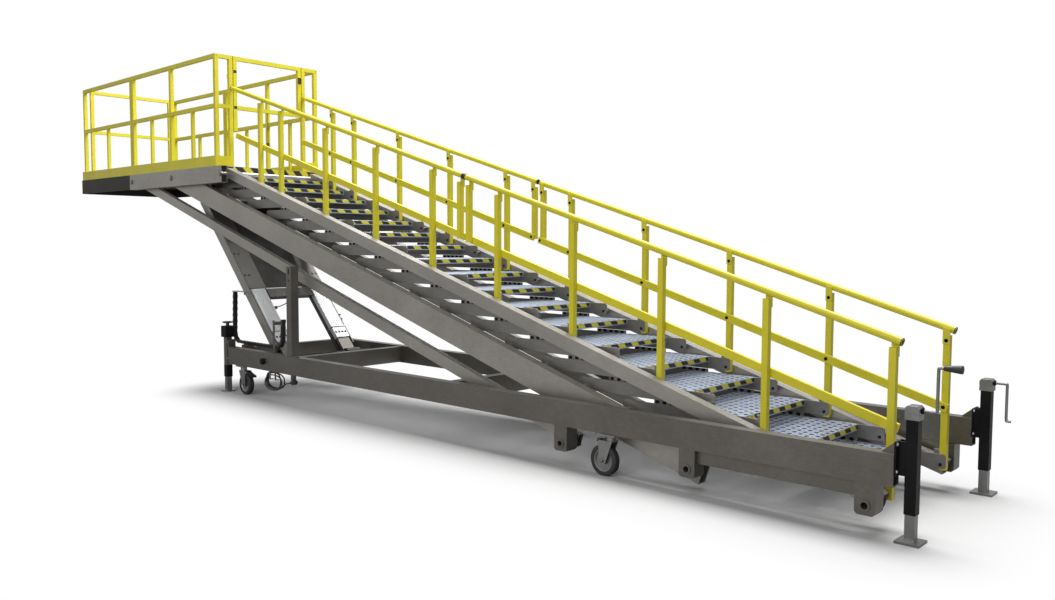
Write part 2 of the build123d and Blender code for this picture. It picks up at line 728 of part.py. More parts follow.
with BuildPart() as leg_masts:
    for side in (-1, 1):
        leg_block((mast_start, mast_end), mast_n, span(side, *profile_y))
        leg_block((mast_start + leg_wall, mast_end + 1), (mast_n[0] + leg_wall, mast_n[1] - leg_wall),
                  span(side, profile_y[0] + leg_wall, profile_y[1] - leg_wall), Mode.SUBTRACT)
        leg_block((mast_start - end_plate, mast_start), (mast_n[0], mast_n[1] + 12),
                  span(side, profile_y[0] - 6, profile_y[1] + 6))
        core_pitch = (profile_y[1] - profile_y[0]) / 4
        for core in range(4):
            core_x, core_z = on_leg(mast_start - end_plate - 1, (mast_n[0] + mast_n[1]) / 2 + 2)
            core_y = side * (profile_y[0] + (core + 0.5) * core_pitch)
            with BuildSketch(Plane(origin=(core_x, core_y, core_z), z_dir=leg_along)) as bore:
                Circle(core_radius)
            extrude(bore.sketch, amount=end_plate + leg_wall + 2, mode=Mode.SUBTRACT)
save(leg_masts, "leg_masts")

with BuildPart() as leg_carriage:
    plate_n = (mast_n[1], mast_n[1] + leg_plate)
    cheek_n = (base_n[0] - profile_gap, mast_n[1])
    leg_block((panel_start, panel_end), plate_n, (-leg_outer, leg_outer))
    for side in (-1, 1):
        leg_block((cheek_start, mast_end), cheek_n, span(side, leg_outer - cheek_sheet, leg_outer))
        leg_block((carriage_start, mast_end), cheek_n, span(side, leg_inner, leg_inner + cheek_sheet))
        eye = [on_leg(panel_end - 60, mast_n[1]), on_leg(eye_t + 10, -leg_axis_offset + eye_radius),
               on_leg(eye_t + eye_radius, -leg_axis_offset), on_leg(eye_t + 10, -leg_axis_offset - eye_radius),
               on_leg(panel_end - 60, mast_n[0])]
        leg_block((mast_end, mast_end + end_plate), mast_n, span(side, leg_inner, leg_outer))
        top = [on_leg(mast_end + end_plate, mast_n[1]), on_leg(eye_t, -leg_axis_offset + eye_radius),
               on_leg(eye_t + eye_radius, -leg_axis_offset), on_leg(eye_t, -leg_axis_offset - eye_radius),
               on_leg(mast_end + end_plate, mast_n[0])]
        side_profile(top, span(side, eye_y, eye_y + eye_plate))
    leg_block((cross_box_start, cross_box_end), (mast_n[0], mast_n[1]), (-leg_inner, leg_inner))
save(leg_carriage, "leg_carriage")

# Casters: a mounting plate on the rail, a fork and a wheel each
with BuildPart() as caster_plates:
    for name, axis_x, side, trail, pedal_reach in caster_table:
        axis_y = side * rail_middle
        block((axis_x - caster_plate_length / 2, axis_x + caster_plate_length / 2),
              (axis_y - caster_plate_width / 2, axis_y + caster_plate_width / 2),
              (rail_bottom - caster_plate, rail_bottom))
        with BuildSketch(Plane.XY.offset(fork_crown_z + fork_sheet + swivel_gap)) as boss:
            with Locations((axis_x, axis_y)):
                Circle(swivel_radius)
        extrude(boss.sketch, amount=rail_bottom - caster_plate - fork_crown_z - fork_sheet - swivel_gap)
save(caster_plates, "caster_plates")

for name, axis_x, side, trail, pedal_reach in caster_table:
    axis_y = side * rail_middle
    wheel_x = axis_x + trail
    cheek_y = wheel_width / 2 + fork_gap
    with BuildPart() as fork:
        low = min(axis_x - swivel_radius, wheel_x - swivel_radius)
        high = max(axis_x + swivel_radius, wheel_x + swivel_radius)
        block((low, high), (axis_y - cheek_y - fork_sheet, axis_y + cheek_y + fork_sheet),
              (fork_crown_z, fork_crown_z + fork_sheet))
        for cheek in (-1, 1):
            cheek_span = sorted((axis_y + cheek * cheek_y, axis_y + cheek * (cheek_y + fork_sheet)))
            shape = [(low, fork_crown_z), (high, fork_crown_z), (wheel_x + 22, wheel_radius - 22),
                     (wheel_x - 22, wheel_radius - 22)]
            side_profile(shape, cheek_span)
        round_y(wheel_x, wheel_radius, wheel_bore - pin_clearance,
                (axis_y - cheek_y - 2 * fork_sheet, axis_y + cheek_y + 2 * fork_sheet))
        pedal = trail / abs(trail)
        root_x = wheel_x + pedal * swivel_radius
        tip_x = root_x + pedal * pedal_reach
        lever = [(root_x, fork_crown_z + fork_sheet), (root_x, fork_crown_z),
                 (tip_x, fork_crown_z - pedal_drop * pedal_reach), (tip_x, fork_crown_z + 8 - pedal_drop * pedal_reach)]
        side_profile(lever, (axis_y - 20, axis_y + 20))
    save(fork, f"caster_fork_{name}")
    with BuildPart() as wheel:
        plane = Plane(origin=(wheel_x, axis_y - wheel_width / 2, wheel_radius), x_dir=(1, 0, 0), z_dir=(0, 1, 0))
        with BuildSketch(plane) as disc:
            Circle(wheel_radius)
            Circle(wheel_bore, mode=Mode.SUBTRACT)
        extrude(disc.sketch, amount=wheel_width)
        chamfer(wheel.edges().filter_by(GeomType.CIRCLE).sort_by(lambda edge: edge.radius)[-2:], 6)
        for face_y in (axis_y - wheel_width / 2, axis_y + wheel_width / 2 - web_recess):
            with BuildSketch(Plane(origin=(wheel_x, face_y, wheel_radius), x_dir=(1, 0, 0), z_dir=(0, 1, 0))) as dish:
                Circle(rim_radius)
                Circle(hub_radius, mode=Mode.SUBTRACT)
            extrude(dish.sketch, amount=web_recess, mode=Mode.SUBTRACT)
    save(wheel, f"caster_wheel_{name}")

# Levelling jacks: housings on the base
with BuildPart() as jack_housings:
    for side in (-1, 1):
        y = side * jack_y
        tube_z(jack_x, y, (jack_low, jack_top), jack_tube, jack_tube, jack_wall)
        block((jack_x - jack_head / 2, jack_x + jack_head / 2), (y - jack_head / 2, y + jack_head / 2),
              (jack_top, jack_top + jack_head_height))
        tube_face = jack_x - jack_tube / 2
        block((rail_front, rail_front + bracket_sheet), span(side, rail_inner - 20, rail_outer),
              (bracket_low, bracket_high))
        for web_y in (jack_y - jack_tube / 2, jack_y + jack_tube / 2 - bracket_sheet):
            block((rail_front + bracket_sheet, tube_face), span(side, web_y, web_y + bracket_sheet),
                  (bracket_low, bracket_high))
        gusset = [(rail_front, rail_top), (rail_front, bracket_high), (rail_front - gusset_length, rail_top)]
        side_profile(gusset, span(side, rail_middle - bracket_sheet / 2, rail_middle + bracket_sheet / 2))
        y = side * rear_jack_y
        tube_z(rear_jack_x, y, (jack_low, rear_jack_top), jack_tube, jack_tube, jack_wall)
        block((rear_jack_x - rear_head / 2, rear_jack_x + rear_head / 2), (y - rear_head / 2, y + rear_head / 2),
              (rear_head_low, rear_jack_top))
        with BuildSketch(Plane.XY.offset(rear_jack_top)) as neck:
            with Locations((rear_jack_x, y)):
                Circle(rear_cap_radius / 3)
        extrude(neck.sketch, amount=2 * rear_cap_height)
        with BuildSketch(Plane.XY.offset(rear_jack_top + 2 * rear_cap_height)) as cap:
            with Locations((rear_jack_x, y)):
                Circle(rear_cap_radius)
        extrude(cap.sketch, amount=rear_cap_height)
        block((rear_jack_x + jack_tube / 2, rail_rear), span(side, rail_inner, rail_outer),
              (rail_bottom, bracket_high))
save(jack_housings, "jack_housings")

# Sliding legs of the jacks
jack_rows = (
    ("front_left", jack_x, -jack_y, True),
    ("front_right", jack_x, jack_y, True),
    ("rear_left", rear_jack_x, -rear_jack_y, False),
    ("rear_right", rear_jack_x, rear_jack_y, False),
)
for name, x, y, square_foot in jack_rows:
    with BuildPart() as jack_leg_part:
        with BuildSketch(Plane.XY) as foot:
            with Locations((x, y)):
                if square_foot:
                    Rectangle(jack_foot, jack_foot)
                else:
                    Circle(rear_jack_foot_radius)
        extrude(foot.sketch, amount=jack_foot_sheet)
        tube_z(x, y, (jack_foot_sheet, jack_leg_top), jack_leg, jack_leg, jack_wall)
    save(jack_leg_part, f"jack_leg_{name}")

# Cranks of the front jacks: the near one is turned up, the far one hangs down
with BuildPart() as jack_cranks:
    for side, turn in ((-1, 1), (1, -1)):
        y = side * jack_y
        start = jack_x + jack_head / 2
        route = [(start, y, crank_z), (start + crank_reach, y, crank_z),
                 (start + crank_reach, y, crank_z + turn * crank_throw),
                 (start + crank_reach + crank_end, y, crank_z + turn * crank_throw)]
        with BuildLine() as path:
            FilletPolyline(*route, radius=crank_radius * 2)
        with BuildSketch(Plane(origin=route[0], x_dir=(0, 1, 0), z_dir=(1, 0, 0))) as rod:
            Circle(crank_radius)
        sweep(rod.sketch, path=path.line)
        if turn > 0:
            plane = Plane(origin=route[-1], x_dir=(0, 1, 0), z_dir=(1, 0, 0))
            with BuildSketch(plane) as grip:
                Circle(crank_grip_radius)
            extrude(grip.sketch, amount=crank_grip_length, taper=-3)
save(jack_cranks, "jack_cranks")

# Cable carrier: links along a U between the near leg and the base
with BuildLine() as chain_path:
    FilletPolyline((chain_bracket[0], -chain_y, chain_bracket[1]),
                   (chain_bracket[0] - 20, -chain_y, chain_low_z),
                   (chain_front_x, -chain_y, chain_low_z),
                   (chain_front_x + 15, -chain_y, chain_front_top), radius=chain_bend)
chain_line = chain_path.wires()[0]
link_count = int(chain_line.length / chain_pitch)
with BuildPart() as cable_carrier:
    for index in range(link_count):
        place = chain_line.position_at((index + 0.5) / link_count)
        heading = chain_line.tangent_at((index + 0.5) / link_count)
        start = place - heading * (chain_pitch * 0.52)
        plane = Plane(origin=start, x_dir=(0, 1, 0), z_dir=heading)
        tall = chain_height if index % 2 else chain_height - 5
        wide = chain_width if index % 2 else chain_width - 5
        tube(plane, wide, tall, 0, chain_pitch * 1.04)
    bracket_x = chain_front_x + 15
    block((bracket_x - 30, bracket_x + 30), (-chain_y - chain_width / 2 - 6, -chain_y - chain_width / 2),
          (chain_front_top - 60, chain_front_top))
    block((bracket_x - 20, bracket_x + 20), (-rail_inner + carrier_post / 2, -chain_y - chain_width / 2 - 6),
          (chain_front_top - 50, chain_front_top - 10))
    tube_z(bracket_x, -rail_inner, (rail_top, chain_front_top), carrier_post, carrier_post, post_wall)
    floor_low = chain_low_z - chain_height / 2 - 4
    block((-1477, -1401), (-chain_y - 60, -chain_y + 30), (rail_top - cross_rise, floor_low))
    block((-1520, chain_front_x - 60), (-chain_y - 30, -chain_y + 30), (floor_low, floor_low + 4))
save(cable_carrier, "cable_carrier")

# Coil of cable under the near rail, hung on a hook, with its tail and plug
coil_y = -rail_middle + coil_from_rail_middle
with BuildPart() as cable_coil:
    plane = Plane(origin=(coil_x, coil_y, coil_z), x_dir=(1, 0, 0), z_dir=(0, -1, 0))
    flat = coil_reach - coil_drop
    with BuildLine(plane) as loop:
        Line((-flat, -coil_drop), (flat, -coil_drop))
        ThreePointArc((flat, -coil_drop), (coil_reach, 0), (flat, coil_drop))
        Line((flat, coil_drop), (-flat, coil_drop))
        ThreePointArc((-flat, coil_drop), (-coil_reach, 0), (-flat, -coil_drop))
    turn = loop.wires()[0]
    start = Plane(origin=turn.position_at(0), z_dir=turn.tangent_at(0))
    with BuildSketch(start) as ring:
        Circle(coil_radius)
    sweep(ring.sketch, path=turn)
save(cable_coil, "cable_coil")

tail_start = coil_x + coil_reach + coil_radius - 4
tail_points = [
    (tail_start, coil_y, coil_z),
    (tail_start + 46, coil_y, coil_z - 8),
    (tail_start + 86, coil_y, coil_z + 9),
    (tail_start + 122, coil_y, coil_z + 15),
]


def bend_radii(points):
    """Bend radius at each inner point, from the shorter run beside it and the turn there."""
    radii = []
    for before, here, after in zip(points[:-2], points[1:-1], points[2:]):
        first = Vector(*here) - Vector(*before)
        second = Vector(*after) - Vector(*here)
        turn = radians(first.get_angle(second))
        radii.append(0.45 * min(first.length, second.length) / tan(turn / 2))
    return radii


def cord_solid(points, radius):
    """Sweep a round cord along points with a rounded bend at each inner one."""
    radii = bend_radii(points)
    print("cord bends", [round(value, 1) for value in radii])
    with BuildLine() as route:
        FilletPolyline(*points, radius=radii)
    wire = route.wires()[0]
    with BuildSketch(Plane(origin=points[0], z_dir=wire.tangent_at(0))) as ring:
        Circle(radius)
    sweep(ring.sketch, path=wire)
    print("cord length", round(wire.length, 1))


with BuildPart() as cable_tail:
    cord_solid(tail_points, cord_radius)
save(cable_tail, "cable_tail")

with BuildPart() as cable_plug:
    heading = Vector(*tail_points[-1]) - Vector(*tail_points[-2])
    with BuildSketch(Plane(origin=tail_points[-1], z_dir=heading)) as ring:
        Circle(plug_radius)
    extrude(ring.sketch, amount=plug_length)
    chamfer(cable_plug.edges().filter_by(GeomType.CIRCLE), 3)
save(cable_plug, "cable_plug")

# Short lead with a plug, below the box between the legs
lead_x, lead_z = on_leg(cross_box_start, (mast_n[0] + mast_n[1]) / 2)
down = leg_along * -1
lead_points = [Vector(lead_x, lead_y, lead_z)]
lead_points.append(lead_points[-1] + down * 60)
lead_points.append(lead_points[-1] + Vector(-15, -50, -30))
lead_points.append(lead_points[-1] + Vector(-40, -45, -20))
lead_points = [tuple(point) for point in lead_points]
with BuildPart() as leg_lead:
    cord_solid(lead_points, lead_radius)
save(leg_lead, "leg_lead")

with BuildPart() as leg_plug:
    heading = Vector(*lead_points[-1]) - Vector(*lead_points[-2])
    with BuildSketch(Plane(origin=lead_points[-1], z_dir=heading)) as ring:
        Circle(plug_radius - 4)
    extrude(ring.sketch, amount=plug_length)
    chamfer(leg_plug.edges().filter_by(GeomType.CIRCLE), 3)
save(leg_plug, "leg_plug")

print("leg tilt", round(degrees(leg_tilt), 3), "eye t", round(eye_t, 2))
print("bolt z", round(bolt_z, 2), "tread run", round(tread_run, 2), "tread rise", round(tread_rise, 2))
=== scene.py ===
# %% [markdown]
# # A cantilevered inspection stand
# This lesson dresses a wheeled aluminium stair with a railed platform. The solid model arrives
# as a fixed frame, in metres, so each piece made here goes where the frame says.

# %% Load the frame
import math

import bmesh
import bpy
from mathutils import Matrix, Vector


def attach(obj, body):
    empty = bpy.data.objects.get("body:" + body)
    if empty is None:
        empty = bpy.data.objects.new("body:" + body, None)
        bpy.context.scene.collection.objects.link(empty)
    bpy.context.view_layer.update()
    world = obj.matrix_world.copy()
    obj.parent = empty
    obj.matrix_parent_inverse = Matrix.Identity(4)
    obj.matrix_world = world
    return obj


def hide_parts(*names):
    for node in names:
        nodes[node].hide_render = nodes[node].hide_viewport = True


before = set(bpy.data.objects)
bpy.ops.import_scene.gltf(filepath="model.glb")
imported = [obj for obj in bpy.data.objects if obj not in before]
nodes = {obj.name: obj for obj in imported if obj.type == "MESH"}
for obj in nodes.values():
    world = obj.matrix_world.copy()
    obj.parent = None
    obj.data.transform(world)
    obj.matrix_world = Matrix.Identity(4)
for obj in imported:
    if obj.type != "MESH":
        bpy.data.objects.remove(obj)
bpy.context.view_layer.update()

# %% [markdown]
# ## Camera
# The photograph was taken from beside the foot of the stair, at about head height. A camera in
# Blender looks along its own -Z, so its matrix gets the right, up and backward directions.

# %% Camera
yaw, pitch, roll = (math.radians(angle) for angle in (42.678, -3.688, 0.230))
eye = Vector((6.4445, -5.0038, 1.4590))
forward = Vector((-math.sin(yaw) * math.cos(pitch), math.cos(yaw) * math.cos(pitch), math.sin(pitch)))
level_right = Vector((math.cos(yaw), math.sin(yaw), 0))
level_up = level_right.cross(forward)
right = math.cos(roll) * level_right + math.sin(roll) * level_up
up = math.cos(roll) * level_up - math.sin(roll) * level_right
camera = bpy.data.objects.new("camera", bpy.data.cameras.new("camera"))
bpy.context.scene.collection.objects.link(camera)
camera.data.sensor_width = 36
camera.data.lens = 30.325
camera.data.clip_end = 200
camera.matrix_world = Matrix.Translation(eye) @ Matrix((right, up, -forward)).transposed().to_4x4()
bpy.context.scene.camera = camera
print("camera", tuple(round(v, 3) for v in camera.location))

# %% [markdown]
# ## Shader maths as expressions
# A material is a graph of nodes. A small class holds one output socket, so that `a * 2 + b`
# adds the Math nodes. The line then reads like its formula, which a list of links doesn't.

# %% Socket class
class Value:
    """One output socket of a material, which Python operators extend with Math nodes."""

    def __init__(self, tree, socket):
        self.tree = tree
        self.socket = socket

    def _math(self, operation, *inputs):
        node = self.tree.nodes.new("ShaderNodeMath")
        node.operation = operation
        for slot_in, item in zip(node.inputs, inputs):
            if isinstance(item, Value):
                self.tree.links.new(item.socket, slot_in)
            else:
                slot_in.default_value = item
        return Value(self.tree, node.outputs[0])

    def __add__(self, other):
        return self._math("ADD", self, other)

    def __radd__(self, other):
        return self._math("ADD", other, self)

    def __sub__(self, other):
        return self._math("SUBTRACT", self, other)

    def __mul__(self, other):
        return self._math("MULTIPLY", self, other)

    def __truediv__(self, other):
        return self._math("DIVIDE", self, other)

    def greater(self, limit):
        return self._math("GREATER_THAN", self, limit)

    def fraction(self):
        return self._math("FRACT", self)

    def absolute(self):
        return self._math("ABSOLUTE", self)

    def above(self, limit):
        return self._math("MAXIMUM", self, limit)

    def root(self):
        return self._math("SQRT", self)

    def smooth(self, low, high):
        node = self.tree.nodes.new("ShaderNodeMapRange")
        node.interpolation_type = "SMOOTHSTEP"
        self.tree.links.new(self.socket, node.inputs["Value"])
        node.inputs["From Min"].default_value = low
        node.inputs["From Max"].default_value = high
        return Value(self.tree, node.outputs["Result"])


print("socket class ready")

# %% [markdown]
# ## A material and its nodes
# `Finish` holds one material. Its `node` method adds any node by its type, with values or links
# in its sockets, and `feed` links values to the Principled shader. So each recipe below is short.

# %% Material class
class Finish:
    """A material with one Principled shader and helpers that add nodes to its tree."""

    def __init__(self, name, metallic=0.0, roughness=0.5):
        self.material = bpy.data.materials.new(name)
        self.material.use_nodes = True
        self.tree = self.material.node_tree
        self.shader = self.tree.nodes["Principled BSDF"]
        self.shader.inputs["Metallic"].default_value = metallic
        self.shader.inputs["Roughness"].default_value = roughness

    def node(self, kind, output=0, **inputs):
        made = self.tree.nodes.new(kind)
        for key, item in inputs.items():
            target = made.inputs[key]
            if isinstance(item, Value):
                self.tree.links.new(item.socket, target)
            else:
                target.default_value = item
        return Value(self.tree, made.outputs[output])

    def place(self):
        """Object coordinates, which stay on the piece when it moves."""
        return self.node("ShaderNodeTexCoord", output="Object")

    def split(self, vector):
        made = self.tree.nodes.new("ShaderNodeSeparateXYZ")
        self.tree.links.new(vector.socket, made.inputs[0])
        return [Value(self.tree, out) for out in made.outputs]

    def noise(self, vector, size, detail=3.0, rough=0.5):
        return self.node("ShaderNodeTexNoise", Vector=vector, Scale=size, Detail=detail, Roughness=rough)

    def mix(self, factor, first, second):
        """Two colours by a factor. Inputs 6 and 7 and output 2 of a Mix node are colours."""
        made = self.tree.nodes.new("ShaderNodeMix")
        made.data_type = "RGBA"
        self.tree.links.new(factor.socket, made.inputs[0])
        made.inputs[6].default_value = (*first, 1)
        made.inputs[7].default_value = (*second, 1)
        return Value(self.tree, made.outputs[2])

    def feed(self, **sockets):
        for key, value in sockets.items():
            self.tree.links.new(value.socket, self.shader.inputs[key.replace("_", " ")])

    def bump(self, height, distance=0.001, strength=0.4):
        bump = self.node("ShaderNodeBump", Height=height, Distance=distance, Strength=strength)
        self.feed(Normal=bump)


print("material class ready")

# %% [markdown]
# ## Paint
# Powder paint, moulded plastic and rubber share one recipe: a colour that wears a little in
# patches, and a very fine bump for the orange peel of the paint or the grain of the mould.

# %% Paint recipe
def paint(name, colour, worn, rough, metallic=0.0, grain=900.0):
    finish = Finish(name, metallic=metallic)
    peel = finish.noise(finish.place(), grain, 2.0, 0.5)
    patches = finish.noise(finish.place(), 5.0, 4.0, 0.6)
    shade = finish.mix(patches.smooth(0.35, 0.75), colour, worn)
    finish.feed(Base_Color=shade, Roughness=rough + (patches - 0.5) * 0.2)
    finish.bump(peel, 0.0002, 0.1)
    return finish.material


print("paint recipe ready")

# %% [markdown]
# ## Cords first
# Three black cords hang on the stand: a loose coil of mains lead under the near rail, a short
# lead with a plug between the legs, and the pull cord of the gate. A NURBS curve is a good
# model, because its line stays smooth while its few control points are set one by one.

# %% A cord from its points
def cord_curve(name, points, diameter, material, body, nodes_replaced):
    data = bpy.data.curves.new(name, "CURVE")
    data.dimensions = "3D"
    data.bevel_depth = diameter / 2
    data.bevel_resolution = 3
    data.resolution_u = 6
    data.use_fill_caps = True
    line = data.splines.new("NURBS")
    line.points.add(len(points) - 1)
    for point, place in zip(line.points, points):
        point.co = (*place, 1)
    line.order_u = 3
    line.use_endpoint_u = True
    data.materials.append(material)
    piece = bpy.data.objects.new(name, data)
    bpy.context.scene.collection.objects.link(piece)
    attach(piece, body)
    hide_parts(*nodes_replaced)
    return piece


def curve_length(piece):
    """Length along the curve's own line, read from a copy without its round section."""
    bare = piece.data.copy()
    bare.bevel_depth = 0
    probe = bpy.data.objects.new("probe", bare)
    mesh = bpy.data.meshes.new_from_object(probe)
    spots = [v.co for v in mesh.vertices]
    bpy.data.objects.remove(probe)
    return sum((b - a).length for a, b in zip(spots, spots[1:]))


cord_skin = paint("cord_skin", (0.012, 0.012, 0.012), (0.02, 0.02, 0.02), 0.5, 0.0, 1500.0)
print("cord helpers ready")

# %% [markdown]
# ## Mains lead
# The lead leaves the base, hangs in three loose turns under the near rail, goes round the bottom
# once more and ends in its plug. Cloth or rope simulation could drop it there, but so few turns
# are quicker to work out. Each ring is a little different, as in any coil hung by hand.

# %% Coil under the near rail
lead_diameter = 0.012
lead_exit = (-0.903, -0.588, 0.238)
coil_x, coil_z = -0.773, 0.186
ring_points = 14
first_angle = 165
squareness = 0.8
turns = (
    # reach along X, drop along Z, place across Y, shift along X, shift along Z
    (0.140, 0.072, -0.588, -0.004, -0.006),
    (0.114, 0.078, -0.603, -0.020, -0.003),
    (0.134, 0.064, -0.618, 0.004, -0.014),
)


def squarer(share):
    """A sine or cosine pushed outwards, which makes a ring a little square."""
    return math.copysign(abs(share) ** squareness, share)


coil_points = [lead_exit, (-0.908, -0.588, 0.226), (-0.914, -0.588, 0.212)]
for number, (reach, drop, across, shift, low) in enumerate(turns):
    after = turns[number + 1][2] if number + 1 < len(turns) else across
    for step in range(ring_points):
        angle = math.radians(first_angle + step * 360 / ring_points)
        x = coil_x + shift + reach * squarer(math.cos(angle))
        z = coil_z + low + drop * squarer(math.sin(angle))
        mixed = across + (after - across) * max(0.0, (step - 9) / 5)
        coil_points.append((x, mixed, z))
coil_points += [(-0.900, -0.622, 0.196), (-0.908, -0.628, 0.165), (-0.896, -0.632, 0.132),
                (-0.852, -0.632, 0.107), (-0.785, -0.632, 0.097), (-0.715, -0.632, 0.102),
                (-0.655, -0.632, 0.118), (-0.625, -0.628, 0.138), (-0.609, -0.613, 0.158),
                (-0.592, -0.605, 0.170), (-0.569, -0.605, 0.174), (-0.545, -0.605, 0.179),
                (-0.529, -0.605, 0.185), (-0.493, -0.605, 0.191)]
mains_lead = cord_curve("mains_lead", coil_points, lead_diameter, cord_skin, "base",
                        ("cable_coil", "cable_tail"))
lead_length = round(curve_length(mains_lead), 3)
print("mains lead", lead_length)

# %% [markdown] ## Plug lead and pull cord A short lead with a plug hangs out below the panel
# between the legs, and a cord with a knob opens the gate. Each is one curve of a few points.

# %% The other two cords
plug_diameter, pull_diameter = 0.010, 0.008
plug_exit, pull_exit = (-1.4374, -0.060, 0.8964), (-1.832, 0, 2.780)
plug_points = [plug_exit, (-1.4250, -0.060, 0.8834), (-1.3961, -0.060, 0.8529),
               (-1.4111, -0.110, 0.8229), (-1.4511, -0.155, 0.8029)]
pull_points = [pull_exit, (-1.832, 0.0005, 2.70), (-1.832, 0, 2.60), (-1.832, 0, 2.480)]
plug_lead = cord_curve("plug_lead", plug_points, plug_diameter, cord_skin, "leg_upper", ("leg_lead",))
pull_cord = cord_curve("pull_cord", pull_points, pull_diameter, cord_skin, "gate", ("gate_cord",))
round(curve_length(plug_lead), 4)
print("plug lead", round(curve_length(plug_lead), 3))

# %% [markdown]
# ## Finishes
# Mill aluminium is grey with fine lengthwise draw lines, cloudy stains and dull patches at the
# welds. Powder paint has a faint orange-peel surface. Each finish is made once and shared.

# %% Aluminium
def aluminium(name, dark, light, rough, draw=(6, 6, 90), metallic=0.75):
    finish = Finish(name, metallic=metallic)
    stretched = finish.node("ShaderNodeMapping", Vector=finish.place(), Scale=draw)
    lines = finish.noise(stretched, 4.0, 4.0, 0.6)
    clouds = finish.noise(finish.place(), 1.6, 5.0, 0.6)
    spots = finish.noise(finish.place(), 30.0, 3.0, 0.5)
    tone = clouds * 0.45 + lines * 0.4 + spots * 0.15
    colour = finish.mix(tone.smooth(0.25, 0.75), dark, light)
    finish.feed(Base_Color=colour, Roughness=rough + (clouds - 0.5) * 0.2 + (lines - 0.5) * 0.15)
    finish.bump(lines, 0.0004, 0.2)
    return finish.material


rail_metal = aluminium("rail_aluminium", (0.12, 0.111, 0.099), (0.20, 0.188, 0.169), 0.36)
# A lighter copy of the rail aluminium, painted light on the stringers and struts.
arm_metal_painted_light = aluminium("arm_aluminium_painted_light", (0.30, 0.284, 0.258), (0.45, 0.428, 0.392), 0.38)
# A lighter copy of the rail aluminium, painted light on the platform frame and the cheeks of the legs.
beam_metal_painted_light = aluminium("beam_aluminium_painted_light", (0.26, 0.245, 0.22), (0.44, 0.418, 0.38), 0.4, (4, 60, 60))
bright_metal = aluminium("bright_aluminium", (0.40, 0.40, 0.40), (0.58, 0.585, 0.59), 0.33, (90, 6, 6))
# A lighter, blue copy of the aluminium, painted blue light on the planks.
plank_metal_painted_light = aluminium("plank_aluminium_painted_light", (0.36, 0.41, 0.52), (0.54, 0.60, 0.73), 0.34, (4, 60, 4), 0.6)
# A lighter copy of the rail aluminium, painted light on the side bars, flanges and lugs of the treads.
bar_metal_painted_light = aluminium("bar_aluminium_painted_light", (0.20, 0.192, 0.182), (0.32, 0.308, 0.293), 0.4, (6, 6, 60))
# A darker copy of the rail aluminium, painted shade on the leg carriage.
leg_metal_painted_shade = aluminium("leg_aluminium_painted_shade", (0.10, 0.095, 0.088), (0.17, 0.162, 0.15), 0.4)
fascia_metal = aluminium("fascia_metal", (0.024, 0.022, 0.019), (0.042, 0.038, 0.032), 0.5)
print("aluminium finishes", 8)

# %% [markdown]
# ## Paints, plastics and rubber
# The rails are powder painted in safety yellow, the jacks in black, and the casters have plated
# forks and rubber tyres. They all come from the paint recipe, with other colours and grain.

# %% Paints, plastics and rubber
safety_yellow = paint("safety_yellow", (0.66, 0.585, 0.018), (0.60, 0.53, 0.017), 0.4, 0.0, 400.0)
black_paint = paint("black_paint", (0.006, 0.006, 0.007), (0.011, 0.011, 0.012), 0.42)
# Old black paint is dull, so it mirrors little of the white room.
black_paint.node_tree.nodes["Principled BSDF"].inputs["Specular IOR Level"].default_value = 0.12
dark_steel = paint("dark_steel", (0.03, 0.028, 0.026), (0.055, 0.052, 0.048), 0.45, 0.4, 60.0)
zinc = paint("zinc_steel", (0.22, 0.22, 0.215), (0.33, 0.33, 0.325), 0.33, 0.85, 200.0)
black_plastic = paint("black_plastic", (0.012, 0.012, 0.012), (0.022, 0.022, 0.022), 0.45)
tyre_rubber = paint("tyre_rubber", (0.016, 0.016, 0.016), (0.035, 0.034, 0.032), 0.6, 0.0, 700.0)
print("painted finishes", 6)

# %% [markdown]
# ## Hazard stripes
# Black and yellow tape marks the nosings and the edge of the deck. An image of stripes would need
# unwrapping, so the stripes come from the place along Y instead: it leans a little with height,
# and its fraction above a half is yellow.

# %% Hazard stripes
def stripes(name, pitch, lean):
    finish = Finish(name, roughness=0.4)
    x, y, z = finish.split(finish.place())
    phase = ((y + z * lean) / pitch).fraction()
    finish.feed(Base_Color=finish.mix(phase.greater(0.5), (0.60, 0.54, 0.03), (0.014, 0.014, 0.013)))
    scuffs = finish.noise(finish.place(), 40.0, 4.0, 0.6)
    finish.feed(Roughness=0.3 + scuffs * 0.3)
    return finish.material


nosing_stripes = stripes("nosing_stripes", 0.152, 0.9)
edge_stripes = stripes("edge_stripes", 0.165, 0.9)
print("stripes", 2)

# %% [markdown]
# ## A small mesh kit
# The extra pieces are folded plates, tubes, bolts and turned parts. `Shape` collects them in one
# bmesh, each with its finish. A prism carries a closed outline along an axis, and a turned part
# is a profile carried round an axis.

